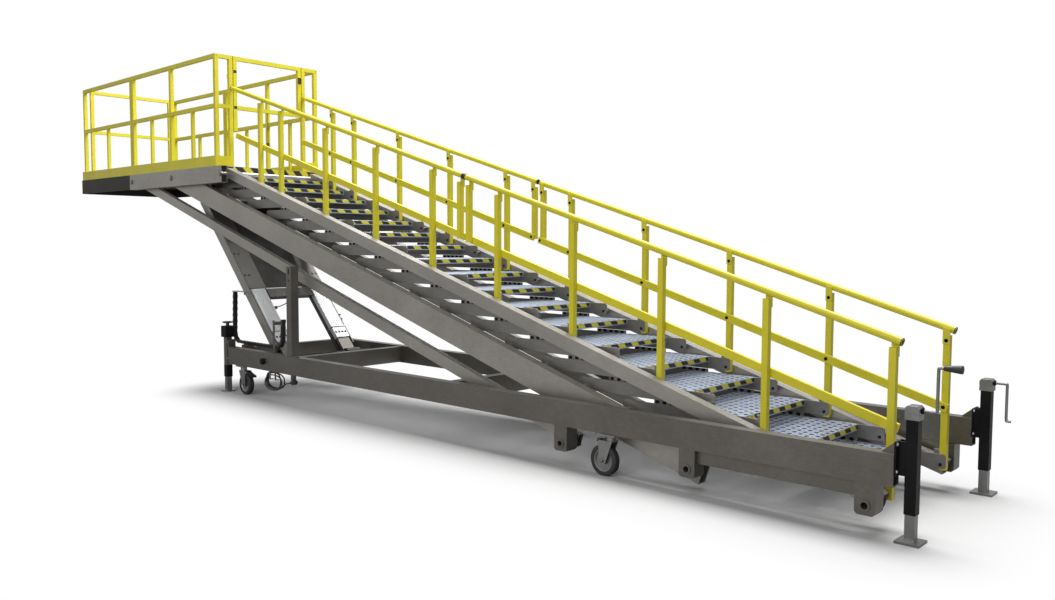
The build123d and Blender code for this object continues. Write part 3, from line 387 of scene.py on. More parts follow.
# %% Mesh kit
class Shape:
    """A mesh in the making, with the finishes that its faces use."""

    def __init__(self):
        self.mesh = bmesh.new()
        self.finishes = []

    def face(self, corners, material):
        if material not in self.finishes:
            self.finishes.append(material)
        made = self.mesh.faces.new(corners)
        made.material_index = self.finishes.index(material)

    def prism(self, outline, axis, low, high, material):
        along = "xyz".index(axis)
        rings = []
        for level in (low, high):
            ring = []
            for pair in outline:
                point = list(pair)
                point.insert(along, level)
                ring.append(self.mesh.verts.new(point))
            rings.append(ring)
        for ring in rings:
            self.face(ring, material)
        for here in range(len(outline)):
            after = (here + 1) % len(outline)
            self.face((rings[0][here], rings[0][after], rings[1][after], rings[1][here]), material)

    def box(self, x, y, z, material):
        self.prism(((x[0], z[0]), (x[1], z[0]), (x[1], z[1]), (x[0], z[1])), "y", y[0], y[1], material)

    def hollow(self, x, y, z, wall, material):
        """A square tube that stands upright and is open at both ends."""
        loops = []
        for level in z:
            for inset in (0, wall):
                corners = ((x[0] + inset, y[0] + inset), (x[1] - inset, y[0] + inset),
                           (x[1] - inset, y[1] - inset), (x[0] + inset, y[1] - inset))
                loops.append([self.mesh.verts.new((*corner, level)) for corner in corners])
        outer_low, inner_low, outer_high, inner_high = loops
        for first, second in ((outer_low, outer_high), (inner_low, inner_high), (outer_low, inner_low),
                              (outer_high, inner_high)):
            for here in range(4):
                after = (here + 1) % 4
                self.face((first[here], first[after], second[after], second[here]), material)

    def turned(self, profile, centre, axis, sides, material):
        """Carries pairs of radius and place along the axis round that axis."""
        along = Vector(axis).normalized()
        side = along.orthogonal().normalized()
        other = along.cross(side)
        loops = []
        for radius, place in profile:
            middle = Vector(centre) + along * place
            if radius < 1e-6:
                loops.append([self.mesh.verts.new(middle)])
                continue
            loop = []
            for step in range(sides):
                turn = math.tau * (step + 0.5) / sides
                spoke = math.cos(turn) * side + math.sin(turn) * other
                loop.append(self.mesh.verts.new(middle + radius * spoke))
            loops.append(loop)
        for first, second in zip(loops, loops[1:]):
            for here in range(sides):
                after = (here + 1) % sides
                corners = [first[here % len(first)], first[after % len(first)],
                           second[after % len(second)], second[here % len(second)]]
                self.face(list(dict.fromkeys(corners)), material)

    def bolt(self, centre, axis, radius, tall, material, sides=12):
        """A low round head with a broken edge."""
        profile = ((radius, 0), (radius, tall * 0.6), (radius * 0.75, tall), (0, tall))
        self.turned(profile, centre, axis, sides, material)

    def disc(self, centre, axis, radius, tall, sides, material):
        self.turned(((radius, 0), (radius, tall), (0, tall)), centre, axis, sides, material)

    def done(self, name):
        """The finished mesh as a datablock, with sharp edges kept sharp."""
        bmesh.ops.remove_doubles(self.mesh, verts=self.mesh.verts, dist=1e-6)
        bmesh.ops.recalc_face_normals(self.mesh, faces=self.mesh.faces)
        mesh = bpy.data.meshes.new(name)
        self.mesh.to_mesh(mesh)
        self.mesh.free()
        for material in self.finishes:
            mesh.materials.append(material)
        mesh.polygons.foreach_set("use_smooth", [True] * len(mesh.polygons))
        mesh.set_sharp_from_angle(angle=math.radians(34))
        return mesh


print("mesh kit ready")

# %% [markdown]
# ## Placing a piece
# Every piece rides on a body of the frame, so that it moves with it. Where it
# shows, a bevel modifier breaks the edges, as on real metal. The stand is symmetrical, so two
# small functions give spans on either side of the middle plane and around a place.

# %% Placing a piece
def place_mesh(name, shape, body, at=(0, 0, 0), replaces=(), edge=0.0):
    """Puts a shape, or a mesh that several pieces share, on a body."""
    piece = bpy.data.objects.new(name, shape.done(name) if isinstance(shape, Shape) else shape)
    bpy.context.scene.collection.objects.link(piece)
    piece.location = at
    if edge:
        rounder = piece.modifiers.new("edges", "BEVEL")
        rounder.width = edge
        rounder.segments = 2
        rounder.limit_method = "ANGLE"
        rounder.angle_limit = math.radians(40)
        rounder.harden_normals = True
    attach(piece, body)
    if replaces:
        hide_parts(*replaces)


def side_span(side, near, far):
    """Two distances from the middle plane as a span along Y on one side, low value first."""
    return sorted((side * near, side * far))


def around(middle, half):
    return (middle - half, middle + half)


print("placing ready")

# %% [markdown]
# ## Treads
# Each tread hangs on two pivots a side. Long side bars carry a perforated plank, whose front
# edge wears a black and yellow strip. Ten of them also carry the yellow posts of the handrail.
# The 18 treads share three meshes, drawn from the front pivot, so Blender stores each shape once.

# %% Sizes of a tread
slope = math.radians(17)
tread_pitch = 0.3714
first_pivot = Vector((4.751, 0, 0.177))
tread_count = 18
post_treads = (0, 2, 4, 6, 8, 10, 12, 14, 16, 17)
uphill = Vector((-math.cos(slope), 0, math.sin(slope)))
link = 0.960
arm_inner = 0.442
plate_top, plate_low = 0.061, -0.024
plate_outer, plate_inner = 0.397, 0.389
nosing = -0.130
plank_depth = 0.4842
print("rise of a tread", round(tread_pitch * math.sin(slope), 4))

# %% [markdown]
# ## Perforated plank
# The plank is a folded sheet with rows of oval holes, every second row shifted by half a pitch,
# and low ribs between the rows. Cutting with a Boolean would be slow, so the sheet is laid with
# cells instead, each a band of faces round its own hole.

# %% Perforated plank
row_pitch, hole_pitch = 0.0538, 0.0649
hole_half = (0.0145, 0.0215)
hole_sides = 12
plank_sheet = 0.004
flange_tall = 0.038
lip_deep = 0.020


def holed_cell(shape, middle_x, middle_y, low_y, high_y):
    """A band round one hole in both faces of the sheet, and the wall of the hole."""
    rim, ring = [], []
    for step in range(hole_sides):
        turn = math.tau * step / hole_sides
        across, along = math.cos(turn), math.sin(turn)
        ring.append((middle_x + hole_half[0] * across, middle_y + hole_half[1] * along))
        grow = 1 / max(abs(across), abs(along))
        reach = high_y - middle_y if along > 0 else middle_y - low_y
        rim.append((middle_x + across * grow * row_pitch / 2, middle_y + reach * along * grow))
    rims, rings = [], []
    for level in (plate_top, plate_top - plank_sheet):
        rims.append([shape.mesh.verts.new((*spot, level)) for spot in rim])
        rings.append([shape.mesh.verts.new((*spot, level)) for spot in ring])
    for step in range(hole_sides):
        after = (step + 1) % hole_sides
        for outer, inner in (*zip(rims, rings), rings):
            shape.face((outer[step], outer[after], inner[after], inner[step]), plank_metal_painted_light)


def plank_mesh():
    shape = Shape()
    half = plate_inner
    front, back = nosing, nosing - plank_depth
    for row in range(round(plank_depth / row_pitch)):
        low_x = back + row * row_pitch
        places = []
        at = -half + (hole_pitch / 2 if row % 2 else hole_pitch)
        while at < half - hole_pitch * 0.4:
            places.append(at)
            at += hole_pitch
        edges = [-half] + [(a + b) / 2 for a, b in zip(places, places[1:])] + [half]
        for place, low_y, high_y in zip(places, edges, edges[1:]):
            holed_cell(shape, low_x + row_pitch / 2, place, low_y, high_y)
        if row:
            rib = ((low_x - 0.006, plate_top), (low_x + 0.006, plate_top),
                   (low_x + 0.004, plate_top + 0.003), (low_x - 0.004, plate_top + 0.003))
            shape.prism(rib, "y", -half + 0.004, half - 0.004, plank_metal_painted_light)
    flange = (plate_top - flange_tall, plate_top)
    lip = (plate_top - flange_tall, plate_top - flange_tall + plank_sheet)
    shape.box((front - plank_sheet, front), (-half, half), flange, plank_metal_painted_light)
    shape.box((front - lip_deep, front - plank_sheet), (-half, half), lip, bar_metal_painted_light)
    shape.box((back, back + plank_sheet), (-half, half), flange, bar_metal_painted_light)
    shape.box((back + plank_sheet, back + lip_deep), (-half, half), lip, bar_metal_painted_light)
    shape.box((front, front + 0.002), (-half + 0.012, half - 0.012), (plate_top - 0.030, plate_top - 0.004),
              nosing_stripes)
    for side in (-1, 1):
        shape.box((front - 0.030, front - plank_sheet), side_span(side, half - 0.018, half),
                  (plate_top - 0.055, plate_top - 0.036), bar_metal_painted_light)
    return shape.done("plank")


plank = plank_mesh()
print("plank faces", len(plank.polygons))

# %% [markdown]
# ## Side bars, pivots and posts
# The bars are thick flat stock with cut corners, on round pivots. A low flange with square
# openings shows in the gaps between the bars, so small that black tiles of painted shade stand
# for its openings.

# %% Side bars, pivots and posts
bar_front, bar_back, bar_cut = 0.030, -link - 0.040, 0.012
flange_x, flange_y = (-0.765, -0.490), (0.3835, 0.3875)
tile = 0.0006
post_ahead, post_size, post_wall = 0.010, 0.038, 0.003
post_low, post_head = plate_top - 0.095, plate_top + 0.696
lug_sheet, lug_deep = 0.008, 0.032
bar_outline = ((bar_back, plate_low + bar_cut), (bar_back + bar_cut, plate_low),
               (bar_front - bar_cut, plate_low), (bar_front, plate_low + bar_cut),
               (bar_front, plate_top - bar_cut), (bar_front - bar_cut, plate_top),
               (bar_back + bar_cut, plate_top), (bar_back, plate_top - bar_cut))


def add_side(shape, side, with_post):
    # The bars, flanges and lugs take the lighter bar aluminium, painted light.
    shape.prism(bar_outline, "y", *side_span(side, plate_inner, plate_outer), bar_metal_painted_light)
    shape.box(flange_x, side_span(side, *flange_y), (plate_top - 0.012, plate_top + 0.0225), bar_metal_painted_light)
    # Black tiles are painted shade for the flange's openings.
    for opening in range(5):
        middle = flange_x[0] + 0.024 + opening * row_pitch
        shape.box(around(middle, 0.0145), side_span(side, flange_y[0] - tile, flange_y[1] + tile),
                  (plate_top + 0.001, plate_top + 0.0205), black_paint)
    for pivot_x, start in ((0, plate_outer + (post_size if with_post else 0)), (-link, plate_outer)):
        shape.turned(((0.015, 0), (0.015, arm_inner - 0.0005 - start)), (pivot_x, side * start, 0),
                     (0, side, 0), 20, zinc)
        shape.bolt((pivot_x, side * plate_inner, 0), (0, -side, 0), 0.011, 0.006, black_paint, 6)


def add_post(shape, side):
    x = around(post_ahead, post_size / 2)
    y = side_span(side, plate_outer, plate_outer + post_size)
    shape.hollow(x, y, (post_low, post_head), post_wall, safety_yellow)
    shape.box((x[0] + post_wall, x[1] - post_wall), (y[0] + post_wall, y[1] - post_wall),
              (post_head - 0.004, post_head - 0.0005), safety_yellow)
    lug_face = plate_outer + lug_sheet
    shape.box((x[0] - lug_deep, x[0]), side_span(side, plate_outer, lug_face),
              (plate_top - 0.042, plate_top + 0.026), bar_metal_painted_light)
    shape.box((x[0] - lug_deep, x[0]), side_span(side, plate_outer, lug_face + 0.012),
              (plate_top + 0.021, plate_top + 0.026), bar_metal_painted_light)
    shape.bolt((x[0] - 0.017, side * lug_face, plate_top), (0, side, 0), 0.009, 0.006, zinc, 6)


def sides_mesh(name, with_posts):
    shape = Shape()
    for side in (-1, 1):
        add_side(shape, side, with_posts)
        if with_posts:
            add_post(shape, side)
    return shape.done(name)


sides_with_posts = sides_mesh("tread_with_posts", True)
plain_sides = sides_mesh("tread_plain", False)
for index in range(tread_count):
    pivot = first_pivot + index * tread_pitch * uphill
    node = f"tread_{index + 1:02d}"
    sides = sides_with_posts if index in post_treads else plain_sides
    place_mesh(f"{node}_sides", sides, node, pivot, (node,), 0.0012)
    place_mesh(f"{node}_plank", plank, node, pivot)
print("treads", tread_count)

# %% [markdown]
# ## Handrail fittings
# Black dome bolts hold the rails to the inner side of each post, black caps close the ends of
# the tubes, and a black sleeve closes the joint of the near handrail. The rails slope, so each
# height comes from one line through the first post, and the fittings follow any change of slope.

# %% Bolts, caps and the joint
first_post_x = 4.761
top_pin, mid_pin = 0.905, 0.518
rail_lift, rail_y = 0.068, 0.416
lug_y, mid_y = 0.3887, (0.3717, 0.3967)
joint_x = 1.5725
links = (1.525, 1.620)
post_places = [first_post_x - index * tread_pitch * math.cos(slope) for index in post_treads]
cap = ((0, 0.0005), (0.0185, 0.0005), (0.0225, -0.002), (0.0225, -0.006), (0.0212, -0.007))
sleeve = ((0.0215, -0.020), (0.0235, -0.020), (0.0235, 0.020), (0.0215, 0.020))


def rail_z(x, first_height, above=0):
    """Height of a rail's line at a place along X, from its height at the first post."""
    return first_height + (first_post_x - x) * math.tan(slope) + above / math.cos(slope)


top_bolts, mid_bolts = Shape(), Shape()
for side in (-1, 1):
    for x in (*post_places, *links):
        top_bolts.bolt((x, side * lug_y, rail_z(x, top_pin)), (0, -side, 0), 0.011, 0.005, black_paint)
        mid_bolts.bolt((x, side * mid_y[0], rail_z(x, mid_pin)), (0, -side, 0), 0.011, 0.005, black_paint)
    ends = [(-1.798, 1), (4.806, -1)]
    if side > 0:
        ends += [(joint_x - 0.012, -1), (joint_x + 0.012, 1)]
    for x, way in ends:
        end = (x, side * rail_y, rail_z(x, top_pin, rail_lift))
        top_bolts.turned(cap, end, uphill * way, 20, black_plastic)
joint = (joint_x, -rail_y, rail_z(joint_x, top_pin, rail_lift))
top_bolts.turned(sleeve, joint, uphill, 24, black_plastic)
place_mesh("top_rail_fittings", top_bolts, "top_rails")
place_mesh("mid_rail_bolts", mid_bolts, "mid_rails")
print("bolts", 4 * (len(post_places) + len(links)))

# %% [markdown]
# ## Mid rails
# The mid rails are flat yellow bars on the inner side of the posts. The photograph shows them
# taller than the tubes of the solid model, so sloping prisms stand for those here.

# %% Mid rails
mid_half_tall = 0.026
rail_across = Vector((math.sin(slope), 0, math.cos(slope))) * mid_half_tall
flats = Shape()
for side in (-1, 1):
    for high_x, low_x in ((-1.770, 1.544), (1.601, 4.784)):
        corners = []
        for x, way in ((high_x, 1), (high_x, -1), (low_x, -1), (low_x, 1)):
            corner = Vector((x, 0, rail_z(x, mid_pin))) + way * rail_across
            corners.append((corner.x, corner.z))
        flats.prism(corners, "y", *side_span(side, *mid_y), safety_yellow)
place_mesh("mid_rail_flats", flats, "mid_rails", replaces=("mid_rails",), edge=0.002)
print("mid rails", 4)

# %% [markdown]
# ## Levelling jacks
# Each front jack is a black square tube with a plated gear head and a flange bolted to the rail.
# Each rear jack has a black head and stands in a grey bracket. All their fixed parts are one mesh
# with five finishes, because each face of a mesh can take its own material.

# %% Jack bodies
front_x, front_y = 4.934, 0.593
rear_x, rear_y = -1.565, 0.635
gear_z = 0.658
half_tube, tube_wall = 0.0285, 0.004
flange_face, flange_z = 4.864, (0.330, 0.500)
knob = ((0, 0), (0.016, 0), (0.016, 0.024), (0.046, 0.028), (0.048, 0.031), (0.048, 0.039),
        (0.045, 0.042), (0, 0.042))


def front_jack(shape, side):
    y = side * front_y
    shape.hollow(around(front_x, half_tube), around(y, half_tube), (0.142, 0.612), tube_wall, black_paint)
    low, high = around(front_x, 0.035)
    lip = ((low, 0.610), (high, 0.610), (high, 0.634), (high - 0.003, 0.637), (low + 0.003, 0.637),
           (low, 0.634))
    gear = ((low + 0.002, 0.637), (high - 0.002, 0.637), (high, 0.640), (high, 0.668),
            (high - 0.011, 0.680), (low + 0.011, 0.680), (low, 0.668), (low, 0.640))
    for outline in (lip, gear):
        shape.prism(outline, "y", *around(y, 0.035), zinc)
    boss = ((0.017, 0), (0.017, 0.006), (0.012, 0.012), (0, 0.012))
    shape.turned(boss, (high, y, gear_z), (1, 0, 0), 16, black_paint)
    bolt_face = flange_face + 0.010
    shape.box((flange_face, bolt_face), side_span(side, 0.559, 0.655), flange_z, black_paint)
    web_x = (bolt_face, bolt_face + 0.032)
    for web_y in (0.5645, 0.6115):
        shape.box(web_x, side_span(side, web_y, web_y + 0.010), flange_z, black_paint)
    gusset = ((flange_face, 0.437), (flange_face, 0.500), (flange_face - 0.074, 0.437))
    shape.prism(gusset, "y", *around(side * 0.617, 0.005), rail_metal)
    for z in (0.486, 0.351):
        for bolt_y in (0.562, 0.640):
            spot = (bolt_face, side * bolt_y, z)
            shape.bolt(spot, (1, 0, 0), 0.009, 0.007, bright_metal, 6)
            shape.disc(spot, (1, 0, 0), 0.0125, 0.0015, 16, zinc)


def rear_jack(shape, side):
    y = side * rear_y
    shape.hollow(around(rear_x, half_tube), around(y, half_tube), (0.255, 0.530), tube_wall, rail_metal)
    shape.hollow(around(rear_x, 0.0295), around(y, 0.0295), (0.142, 0.256), tube_wall, black_paint)
    low, high = around(rear_x, 0.046)
    head = ((low, 0.534), (low + 0.004, 0.530), (high - 0.004, 0.530), (high, 0.534), (high, 0.632),
            (high - 0.008, 0.640), (low + 0.008, 0.640), (low, 0.632))
    shape.prism(head, "y", *around(y, 0.046), black_paint)
    shape.turned(knob, (rear_x, y, 0.640), (0, 0, 1), 24, dark_steel)
    shape.box((-1.5365, -1.515), side_span(side, 0.581, 0.655), (0.272, 0.500), rail_metal)
    shape.box((-1.5965, -1.5165), side_span(side, 0.5795, 0.6565), (0.300, 0.505), rail_metal)
    for z in (0.325, 0.480):
        for bolt_x in (-1.583, -1.532):
            shape.bolt((bolt_x, side * 0.6565, z), (0, side, 0), 0.007, 0.005, bright_metal, 6)


jack = Shape()
for side in (-1, 1):
    front_jack(jack, side)
    rear_jack(jack, side)
place_mesh("jack_bodies", jack, "base", replaces=("jack_housings",), edge=0.0015)
print("jacks", 4)

# %% [markdown]
# ## Cranks
# A bent rod turns each front jack. The near one points up and has a black grip, and the far one
# hangs down. The cord's curve gives a bent round rod too, with points close together at a bend.

# %% Cranks
rod_diameter, bend_size = 0.016, 0.020
arm_x = 5.039
near_top, far_top = 0.873, 0.443
cranks = (("near", -1, near_top, ("jack_cranks",)), ("far", 1, far_top, ()))
for label, side, crank_top, replaced in cranks:
    y = side * front_y
    bend = math.copysign(bend_size, crank_top - gear_z)
    rod = [(4.966, y, gear_z), (5.014, y, gear_z), (arm_x - 0.002, y, gear_z),
           (arm_x, y, gear_z + 0.001 + bend * 0.1), (arm_x, y, gear_z + bend),
           (arm_x, y, crank_top - bend), (arm_x + 0.001, y, crank_top - bend * 0.1),
           (5.044, y, crank_top), (5.064, y, crank_top)]
    cord_curve(f"crank_rod_{label}", rod, rod_diameter, zinc, "base", replaced)
handle = ((0, 0.0), (0.0105, 0.0), (0.0125, 0.003), (0.0190, 0.060), (0.0205, 0.075), (0.0205, 0.0825),
          (0.0185, 0.0848), (0, 0.0848))
grip = Shape()
grip.turned(handle, (5.063, -front_y, near_top), (1, 0, 0), 20, black_plastic)
place_mesh("crank_grip", grip, "base")
print("cranks", len(cranks))

# %% [markdown]
# ## Cable carrier
# A chain of plastic links follows a line with rounded corners. A curve modifier would bend the
# links, so a function walks along the straight runs and the arcs instead, and gives back evenly
# spaced places with their headings.

# %% Rounded line
def rounded_line(corners, radius, count):
    """Evenly spaced places and headings along straight runs joined by arcs, in X and Z."""
    dense = []
    spots = [Vector(corner) for corner in corners]
    dense.append(spots[0])
    for before, corner, after in zip(spots, spots[1:], spots[2:]):
        inward = (before - corner).normalized()
        outward = (after - corner).normalized()
        reach = radius / math.tan(inward.angle(outward) / 2)
        centre = corner + (inward + outward).normalized() * radius / math.sin(inward.angle(outward) / 2)
        start, end = corner + inward * reach, corner + outward * reach
        for step in range(25):
            mixed = (start - centre).lerp(end - centre, step / 24)
            dense.append(centre + mixed.normalized() * radius)
    dense.append(spots[-1])
    lengths = [0.0]
    for first, second in zip(dense, dense[1:]):
        lengths.append(lengths[-1] + (second - first).length)
    found = []
    for number in range(count):
        wanted = lengths[-1] * (number + 0.5) / count
        spot = max(i for i in range(len(lengths) - 1) if lengths[i] <= wanted)
        run = dense[spot + 1] - dense[spot]
        found.append((dense[spot] + run.normalized() * (wanted - lengths[spot]), run.normalized()))
    return found, lengths[-1]


print("rounded line ready")

# %% [markdown]
# ## Chain, tray and bracket
# Wide and narrow links take turns, and the wide ones show their pins. The chain lies in a tray
# and an upright holds its end. Fifty small prisms are enough at this size.

# %% Chain, tray and bracket
chain_y = -0.478
link_count = 50
chain_corners = ((-1.690, 0.960), (-1.710, 0.468), (-0.838, 0.468), (-0.823, 0.734))
chain_places, chain_length = rounded_line(chain_corners, 0.095, link_count)
half_long = chain_length / link_count * 0.52
link_outline = ((-1, -0.7), (-1, 0.7), (-0.8, 1), (0.8, 1), (1, 0.7), (1, -0.7), (0.8, -1), (-0.8, -1))
supports = (
    # X, Y and Z of the upright's arm, the upright, the block under the tray and the tray
    ((-0.838, -0.808), (-0.578, -0.499), (0.690, 0.720)),
    ((-0.838, -0.808), (-0.582, -0.578), (0.437, 0.734)),
    ((-1.477, -1.401), (-0.538, -0.448), (0.429, 0.450)),
    ((-1.520, -0.898), (-0.508, -0.448), (0.450, 0.454)),
)
chain = Shape()
for number, (spot, heading) in enumerate(chain_places):
    aside = Vector((heading.y, -heading.x))
    wide = number % 2
    half_tall, half_wide = (0.013, 0.021) if wide else (0.0115, 0.019)
    outline = [tuple(spot + heading * along * half_long + aside * across * half_tall)
               for along, across in link_outline]
    chain.prism(outline, "y", *around(chain_y, half_wide), black_plastic)
    if wide:
        for way in (-1, 1):
            chain.bolt((spot.x, chain_y + way * half_wide, spot.y), (0, way, 0), 0.006, 0.002, black_plastic)
for x, y, z in supports:
    chain.box(x, y, z, rail_metal)
place_mesh("carrier_chain", chain, "base", replaces=("cable_carrier",))
print("carrier length", round(chain_length, 3))

# %% [markdown]
# ## Legs
# The masts are ribbed along their length, and each foot has a bright block with four dark
# discs, painted shade for its bores, above a plain one. The front panel has a dark plate between
# the legs, painted shade for the dark that it mirrors, and dark discs, painted shade for the
# pairs of holes at its edges. Bright plates on the outer cheeks of the legs are painted light,
# and a bright bracket takes the top of the carrier. The legs lean, so a small function places
# everything by how far it is along the leg and how far towards its front.

# %% Places on a leg
leg_foot = Vector((-0.881, 0.356))
leg_tilt = math.radians(43.473)
leg_up = Vector((-math.sin(leg_tilt), math.cos(leg_tilt)))
leg_front = Vector((math.cos(leg_tilt), math.sin(leg_tilt)))


def along_leg(t, n):
    """X and Z of a point t along the leg and n towards its front."""
    return tuple(leg_foot + leg_up * t + leg_front * n)


def leg_plate(shape, t, n, y, material):
    corners = [along_leg(t[a], n[b]) for a, b in ((0, 0), (1, 0), (1, 1), (0, 1))]
    shape.prism(corners, "y", *y, material)


def leg_shade_disc(shape, radius, t, n, y):
    """A thin dark disc on the front of the leg, painted shade that stands for a bore."""
    x, z = along_leg(t, n)
    shape.disc((x, y, z), (leg_front.x, 0, leg_front.y), radius, 0.0006, 16, black_paint)


print("leg top", tuple(round(c, 3) for c in along_leg(2.172, 0)))

# %% Leg fittings
rib_count, rib_pitch, rib_wide = 7, 0.0235, 0.004
bore_pitch = 0.0375
mast_dress, panel_dress = Shape(), Shape()
for side in (-1, 1):
    for rib in range(rib_count):
        rib_y = 0.268 + rib * rib_pitch
        leg_plate(mast_dress, (0.352, 0.888), (-0.0105, -0.0080), side_span(side, rib_y, rib_y + rib_wide),
                  bright_metal)
    for t in (1.06, 1.35):
        for y in (0.412, 0.368):
            leg_shade_disc(panel_dress, 0.013, t, -0.0022, side * y)
for side in (-1, 1):
    leg_plate(mast_dress, (0.205, 0.334), (-0.053, -0.006), side_span(side, 0.264, 0.416), bright_metal)
    leg_plate(mast_dress, (0.060, 0.204), (-0.053, -0.018), side_span(side, 0.272, 0.408), rail_metal)
    for bore in range(4):
        leg_shade_disc(mast_dress, 0.0125, 0.270, -0.006, side * (0.284 + bore_pitch * bore))
place_mesh("mast_ribs", mast_dress, "leg_lower")
for side in (-1, 1):
    # Bright plates on the outer cheeks, in the lighter beam aluminium, are painted light.
    leg_plate(panel_dress, (0.140, 2.172), (-0.109, -0.011), side_span(side, 0.4318, 0.4326), beam_metal_painted_light)
# A dark plate on the panel between the legs is painted shade for the dark that it mirrors.
leg_plate(panel_dress, (0.892, 2.118), (-0.0024, -0.0012), (-0.247, 0.247), dark_steel)
panel_dress.box((-1.716, -1.520), (-0.500, -0.436), (0.962, 0.970), bright_metal)
panel_dress.box((-1.600, -1.520), (-0.4365, -0.4325), (0.930, 0.970), bright_metal)
place_mesh("panel_fittings", panel_dress, "leg_upper")
print("leg ribs", 2 * rib_count)

# %% [markdown]
# ## Casters
# A plated rim and hub fill the recess of each rubber wheel, and a black pedal works the brake.
# The rim is a turned profile on both sides of the wheel. It rides on the wheel's body and the
# pedal on the fork's, so that one rolls and both swivel.

# %% Casters
wheel_y, wheel_radius = 0.617, 0.100
rim_face = 0.0115
pedal_half = 0.0215
rim_profile = ((0.0262, rim_face), (0.0262, rim_face + 0.002), (0.058, rim_face + 0.002),
               (0.063, rim_face + 0.009), (0.0715, rim_face + 0.0105), (0.0715, rim_face),
               (0.0262, rim_face))
hub_profile = ((0.0105, 0.025), (0.0105, 0.0265), (0.022, 0.0265), (0.025, 0.025))


def wheel_mesh():
    """Rim and hub of a caster, drawn round its axle."""
    shape = Shape()
    for side in (-1, 1):
        shape.turned(rim_profile, (0, 0, 0), (0, side, 0), 32, zinc)
        shape.turned(hub_profile, (0, 0, 0), (0, side, 0), 24, zinc)
    return shape.done("wheel_rim")


def pedal_mesh(trail, reach):
    """A pedal that slopes down and away from the swivel, with a thicker pad at its tip."""
    shape = Shape()
    drop = 0.42 * reach
    way = math.copysign(1, trail)
    root, tip = trail + way * 0.030, trail + way * (0.030 + reach)
    arm = ((root, 0.2295), (root, 0.2205), (tip, 0.2208 - drop), (tip + way * 0.001, 0.2315 - drop))
    start, fall = tip - way * 0.030, drop * 0.75
    pad = ((start, 0.236 - fall), (start, 0.226 - fall), (tip, 0.2208 - drop), (tip, 0.237 - drop))
    for outline in (arm, pad):
        shape.prism(outline, "y", -pedal_half, pedal_half, black_plastic)
    for side in (-1, 1):
        shape.bolt((trail, side * 0.041, wheel_radius), (0, side, 0), 0.012, 0.007, zinc, 6)
    return shape.done("brake_pedal")


rim = wheel_mesh()
caster_pairs = (
    # name, place of the swivel along X, trail of the wheel, reach of the pedal
    ("rear", -1.302, 0.050, 0.110),
    ("mid", 3.114, -0.045, 0.018),
)
for pair, x, trail, reach in caster_pairs:
    for label, y in (("left", -wheel_y), ("right", wheel_y)):
        name = f"{pair}_{label}"
        pedal = pedal_mesh(trail, reach)
        place_mesh(f"rim_{name}", rim, f"wheel_{name}", (x + trail, y, wheel_radius))
        place_mesh(f"pedal_{name}", pedal, f"fork_{name}", (x, y, 0))
print("casters", 2 * len(caster_pairs))

# %% [markdown]
# ## Platform fittings
# The front edge of the deck wears the same striped tape, wider. Bright nuts end the arms' pins on
# the side beams, whose open ends hold a black sheet of painted shade inside, and caps close the
# tubes of the guard rails.

# %% Platform fittings
deck_top = 2.206
arm_reach, arm_rise = 6.750 * math.cos(slope), 6.750 * math.sin(slope)
low_pins = (4.726, 3.686, 2.726)
low_pin_z = 0.155
beam_face = 0.594
collar = ((0.030, 0), (0.030, 0.003), (0.026, 0.004))
nut = ((0.023, 0.003), (0.023, 0.010), (0.019, 0.013), (0, 0.013))
trim = Shape()
trim.box((-1.7668, -1.7652), (-0.434, 0.434), (deck_top - 0.060, deck_top - 0.002), edge_stripes)
for side in (-1, 1):
    for pivot_x in low_pins:
        pin = (pivot_x - arm_reach, side * beam_face, low_pin_z + arm_rise)
        trim.turned(collar, pin, (0, side, 0), 20, zinc)
        trim.turned(nut, pin, (0, side, 0), 6, zinc)
for side in (-1, 1):
    inside_y = side_span(side, 0.5295, 0.5885)
    # A black sheet inside each open end of a side beam is painted shade.
    trim.box((-1.745, -1.742), inside_y, (2.0455, 2.2005), black_plastic)
    trim.box((-1.743, -1.716), inside_y, (2.120, 2.125), bright_metal)
    trim.box((-1.8128, -1.8120), side_span(side, 0.5505, 0.5875), (3.2655, 3.3025), safety_yellow)
    trim.disc((-1.8120, side * 0.569, 3.284), (1, 0, 0), 0.004, 0.0004, 12, black_paint)
place_mesh("platform_trim", trim, "platform")
print("pin nuts", 2 * len(low_pins))

# %% [markdown]
# ## Post weld, shaft plugs and gate fittings
# A bright weld runs round the foot of the transport post, and a black plug ends the shaft of the
# legs on each rail. The gate has black hinges and a spring latch.

# %% Post weld, shaft plugs and gate fittings
post_place, post_half, rail_top = (-0.448, -0.617), 0.038, 0.437
hinge_x, hinge_half = -1.8135, 0.014
plug = ((0.029, -0.001), (0.029, 0.022), (0.026, 0.027), (0.018, 0.029), (0, 0.029))
weld = Shape()
weld.hollow(around(post_place[0], post_half + 0.004), around(post_place[1], post_half),
            (rail_top, rail_top + 0.004), 0.005, bright_metal)
for side in (-1, 1):
    weld.turned(plug, (-0.881, side * 0.655, 0.356), (0, side, 0), 28, black_paint)
place_mesh("post_weld", weld, "base")
latch = Shape()
for z in (2.799, 3.153):
    latch.box((hinge_x, -1.8120), (-0.388, -0.354), around(z, hinge_half), black_plastic)
latch.box((hinge_x, -1.8060), (0.352, 0.390), (3.130, 3.190), black_plastic)
place_mesh("gate_latch", latch, "gate")
print("gate hinges", 2)

# %% [markdown]
# ## Finishes of the solid pieces
# A CAD node keeps its own shape, and its material slot takes one of the finishes. Nodes that
# another piece stands for are hidden, so they need none.

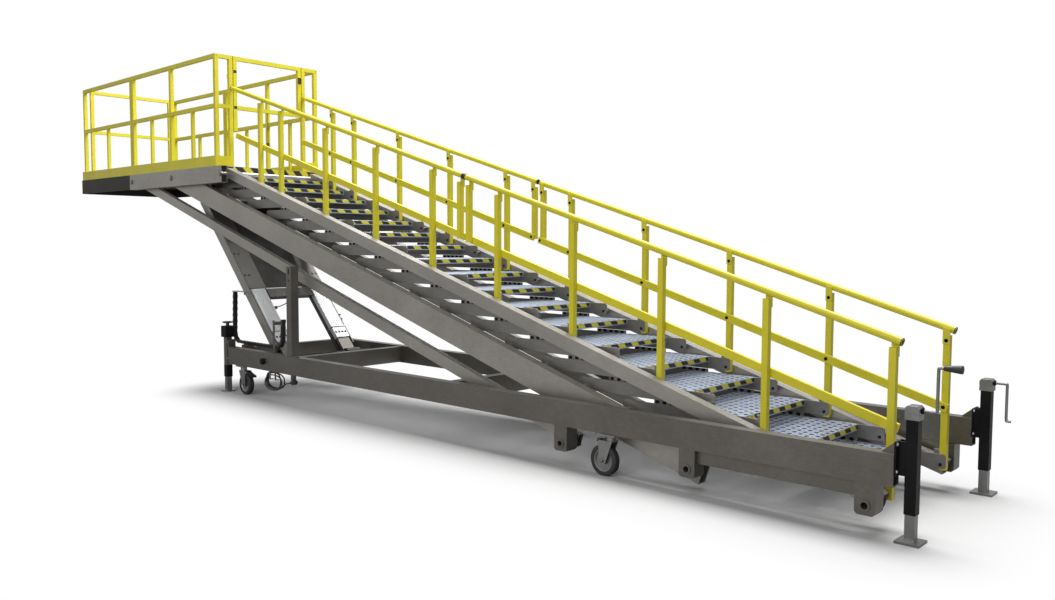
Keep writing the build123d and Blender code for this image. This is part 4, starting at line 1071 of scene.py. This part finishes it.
# %% Node finishes
finish_nodes = (
    # A node takes the first row that its name begins with, so the knob stands before the gate.
    (black_plastic, ("gate_knob", "cable_plug", "leg_plug")),
    (rail_metal, ("base_rails", "cross_members", "arm_brackets", "lock_post")),
    # The stringers and struts take the lighter aluminium, painted light.
    (arm_metal_painted_light, ("upper_stringers", "lower_stringers", "struts")),
    (safety_yellow, ("top_rails", "split_link", "guard_rails", "gate")),
    # The platform frame takes the lighter aluminium, painted light.
    (beam_metal_painted_light, ("platform_frame",)),
    (fascia_metal, ("rear_fascia",)),
    (bright_metal, ("leg_masts",)),
    # The leg carriage takes the darker aluminium, painted shade.
    (leg_metal_painted_shade, ("leg_carriage",)),
    (dark_steel, ("leg_base_profiles",)),
    (black_paint, ("pivot_pins",)),
    (zinc, ("caster_plates", "caster_fork", "jack_leg")),
    (tyre_rubber, ("caster_wheel",)),
)
finished = 0
for name, piece in nodes.items():
    for material, beginnings in finish_nodes:
        if name.startswith(beginnings):
            piece.data.materials.clear()
            piece.data.materials.append(material)
            finished += 1
            break
print("finished nodes", finished)

# %% [markdown]
# ## Floor
# The stand was photographed on white. The floor takes the shadow near the stand and fades to
# white further away, by the distance from a box round it. Only the camera sees the floor pale,
# so little light bounces back on the object.

# %% Floor
floor_half = 40
shadow_middle, shadow_half = (1.60, -0.10), (3.15, 0.5)
floor_mesh = bpy.data.meshes.new("floor")
floor_corners = [(x * floor_half, y * floor_half, 0) for x, y in ((-1, -1), (1, -1), (1, 1), (-1, 1))]
floor_mesh.from_pydata(floor_corners, [], [(0, 1, 2, 3)])
floor = bpy.data.objects.new("floor", floor_mesh)
bpy.context.scene.collection.objects.link(floor)
floor_finish = Finish("floor", roughness=0.9)
seen = floor_finish.node("ShaderNodeLightPath", output="Is Camera Ray")
floor_finish.feed(Base_Color=floor_finish.mix(seen, (0.30, 0.30, 0.30), (0.56, 0.56, 0.56)))
x, y, z = floor_finish.split(floor_finish.place())
aside_x = ((x - shadow_middle[0]).absolute() - shadow_half[0]).above(0)
aside_y = ((y - shadow_middle[1]).absolute() - shadow_half[1]).above(0)
spread = (aside_x * aside_x + aside_y * aside_y).root()
whiteness = spread.smooth(0.05, 0.80) * seen
floor_tree = floor_finish.tree
white = floor_tree.nodes.new("ShaderNodeEmission")
fade = floor_tree.nodes.new("ShaderNodeMixShader")
floor_tree.links.new(whiteness.socket, fade.inputs[0])
floor_tree.links.new(floor_finish.shader.outputs[0], fade.inputs[1])
floor_tree.links.new(white.outputs[0], fade.inputs[2])
floor_tree.links.new(fade.outputs[0], floor_tree.nodes["Material Output"].inputs["Surface"])
floor.data.materials.append(floor_finish.material)
print("floor", 2 * floor_half)

# %% [markdown]
# ## World and lamps
# The room is white to the camera and a little brighter in mirrors than as a lamp, so metal shows
# a pale room while the object is lit at a plain level. One large area lamp hangs overhead behind
# the stand, and a weaker one stands on the camera's side.

# %% World and lamps
world = bpy.data.worlds.new("studio")
bpy.context.scene.world = world
world.use_nodes = True
world_tree = world.node_tree
light_path = world_tree.nodes.new("ShaderNodeLightPath")
glossy = Value(world_tree, light_path.outputs["Is Glossy Ray"])
to_camera = Value(world_tree, light_path.outputs["Is Camera Ray"])
room_light = 0.32 + glossy * 0.30 + to_camera * 0.68
backdrop = world_tree.nodes["Background"]
world_tree.links.new(room_light.socket, backdrop.inputs["Strength"])
backdrop.inputs["Color"].default_value = (1, 1, 1, 1)


def lamp(name, place, target, size, power):
    light = bpy.data.lights.new(name, "AREA")
    light.shape = "RECTANGLE"
    light.size, light.size_y = size
    light.energy = power
    piece = bpy.data.objects.new(name, light)
    bpy.context.scene.collection.objects.link(piece)
    piece.location = place
    piece.rotation_euler = (Vector(target) - Vector(place)).to_track_quat("-Z", "Y").to_euler()


lamp("overhead", (0.5, 2.2, 8.5), (0.5, -0.3, 0), (10, 5), 1500)
lamp("side", (4, -10, 5), (0, 0, 1.2), (8, 5), 450)
bpy.context.scene.view_settings.view_transform = "Standard"
print("lamps", 2)
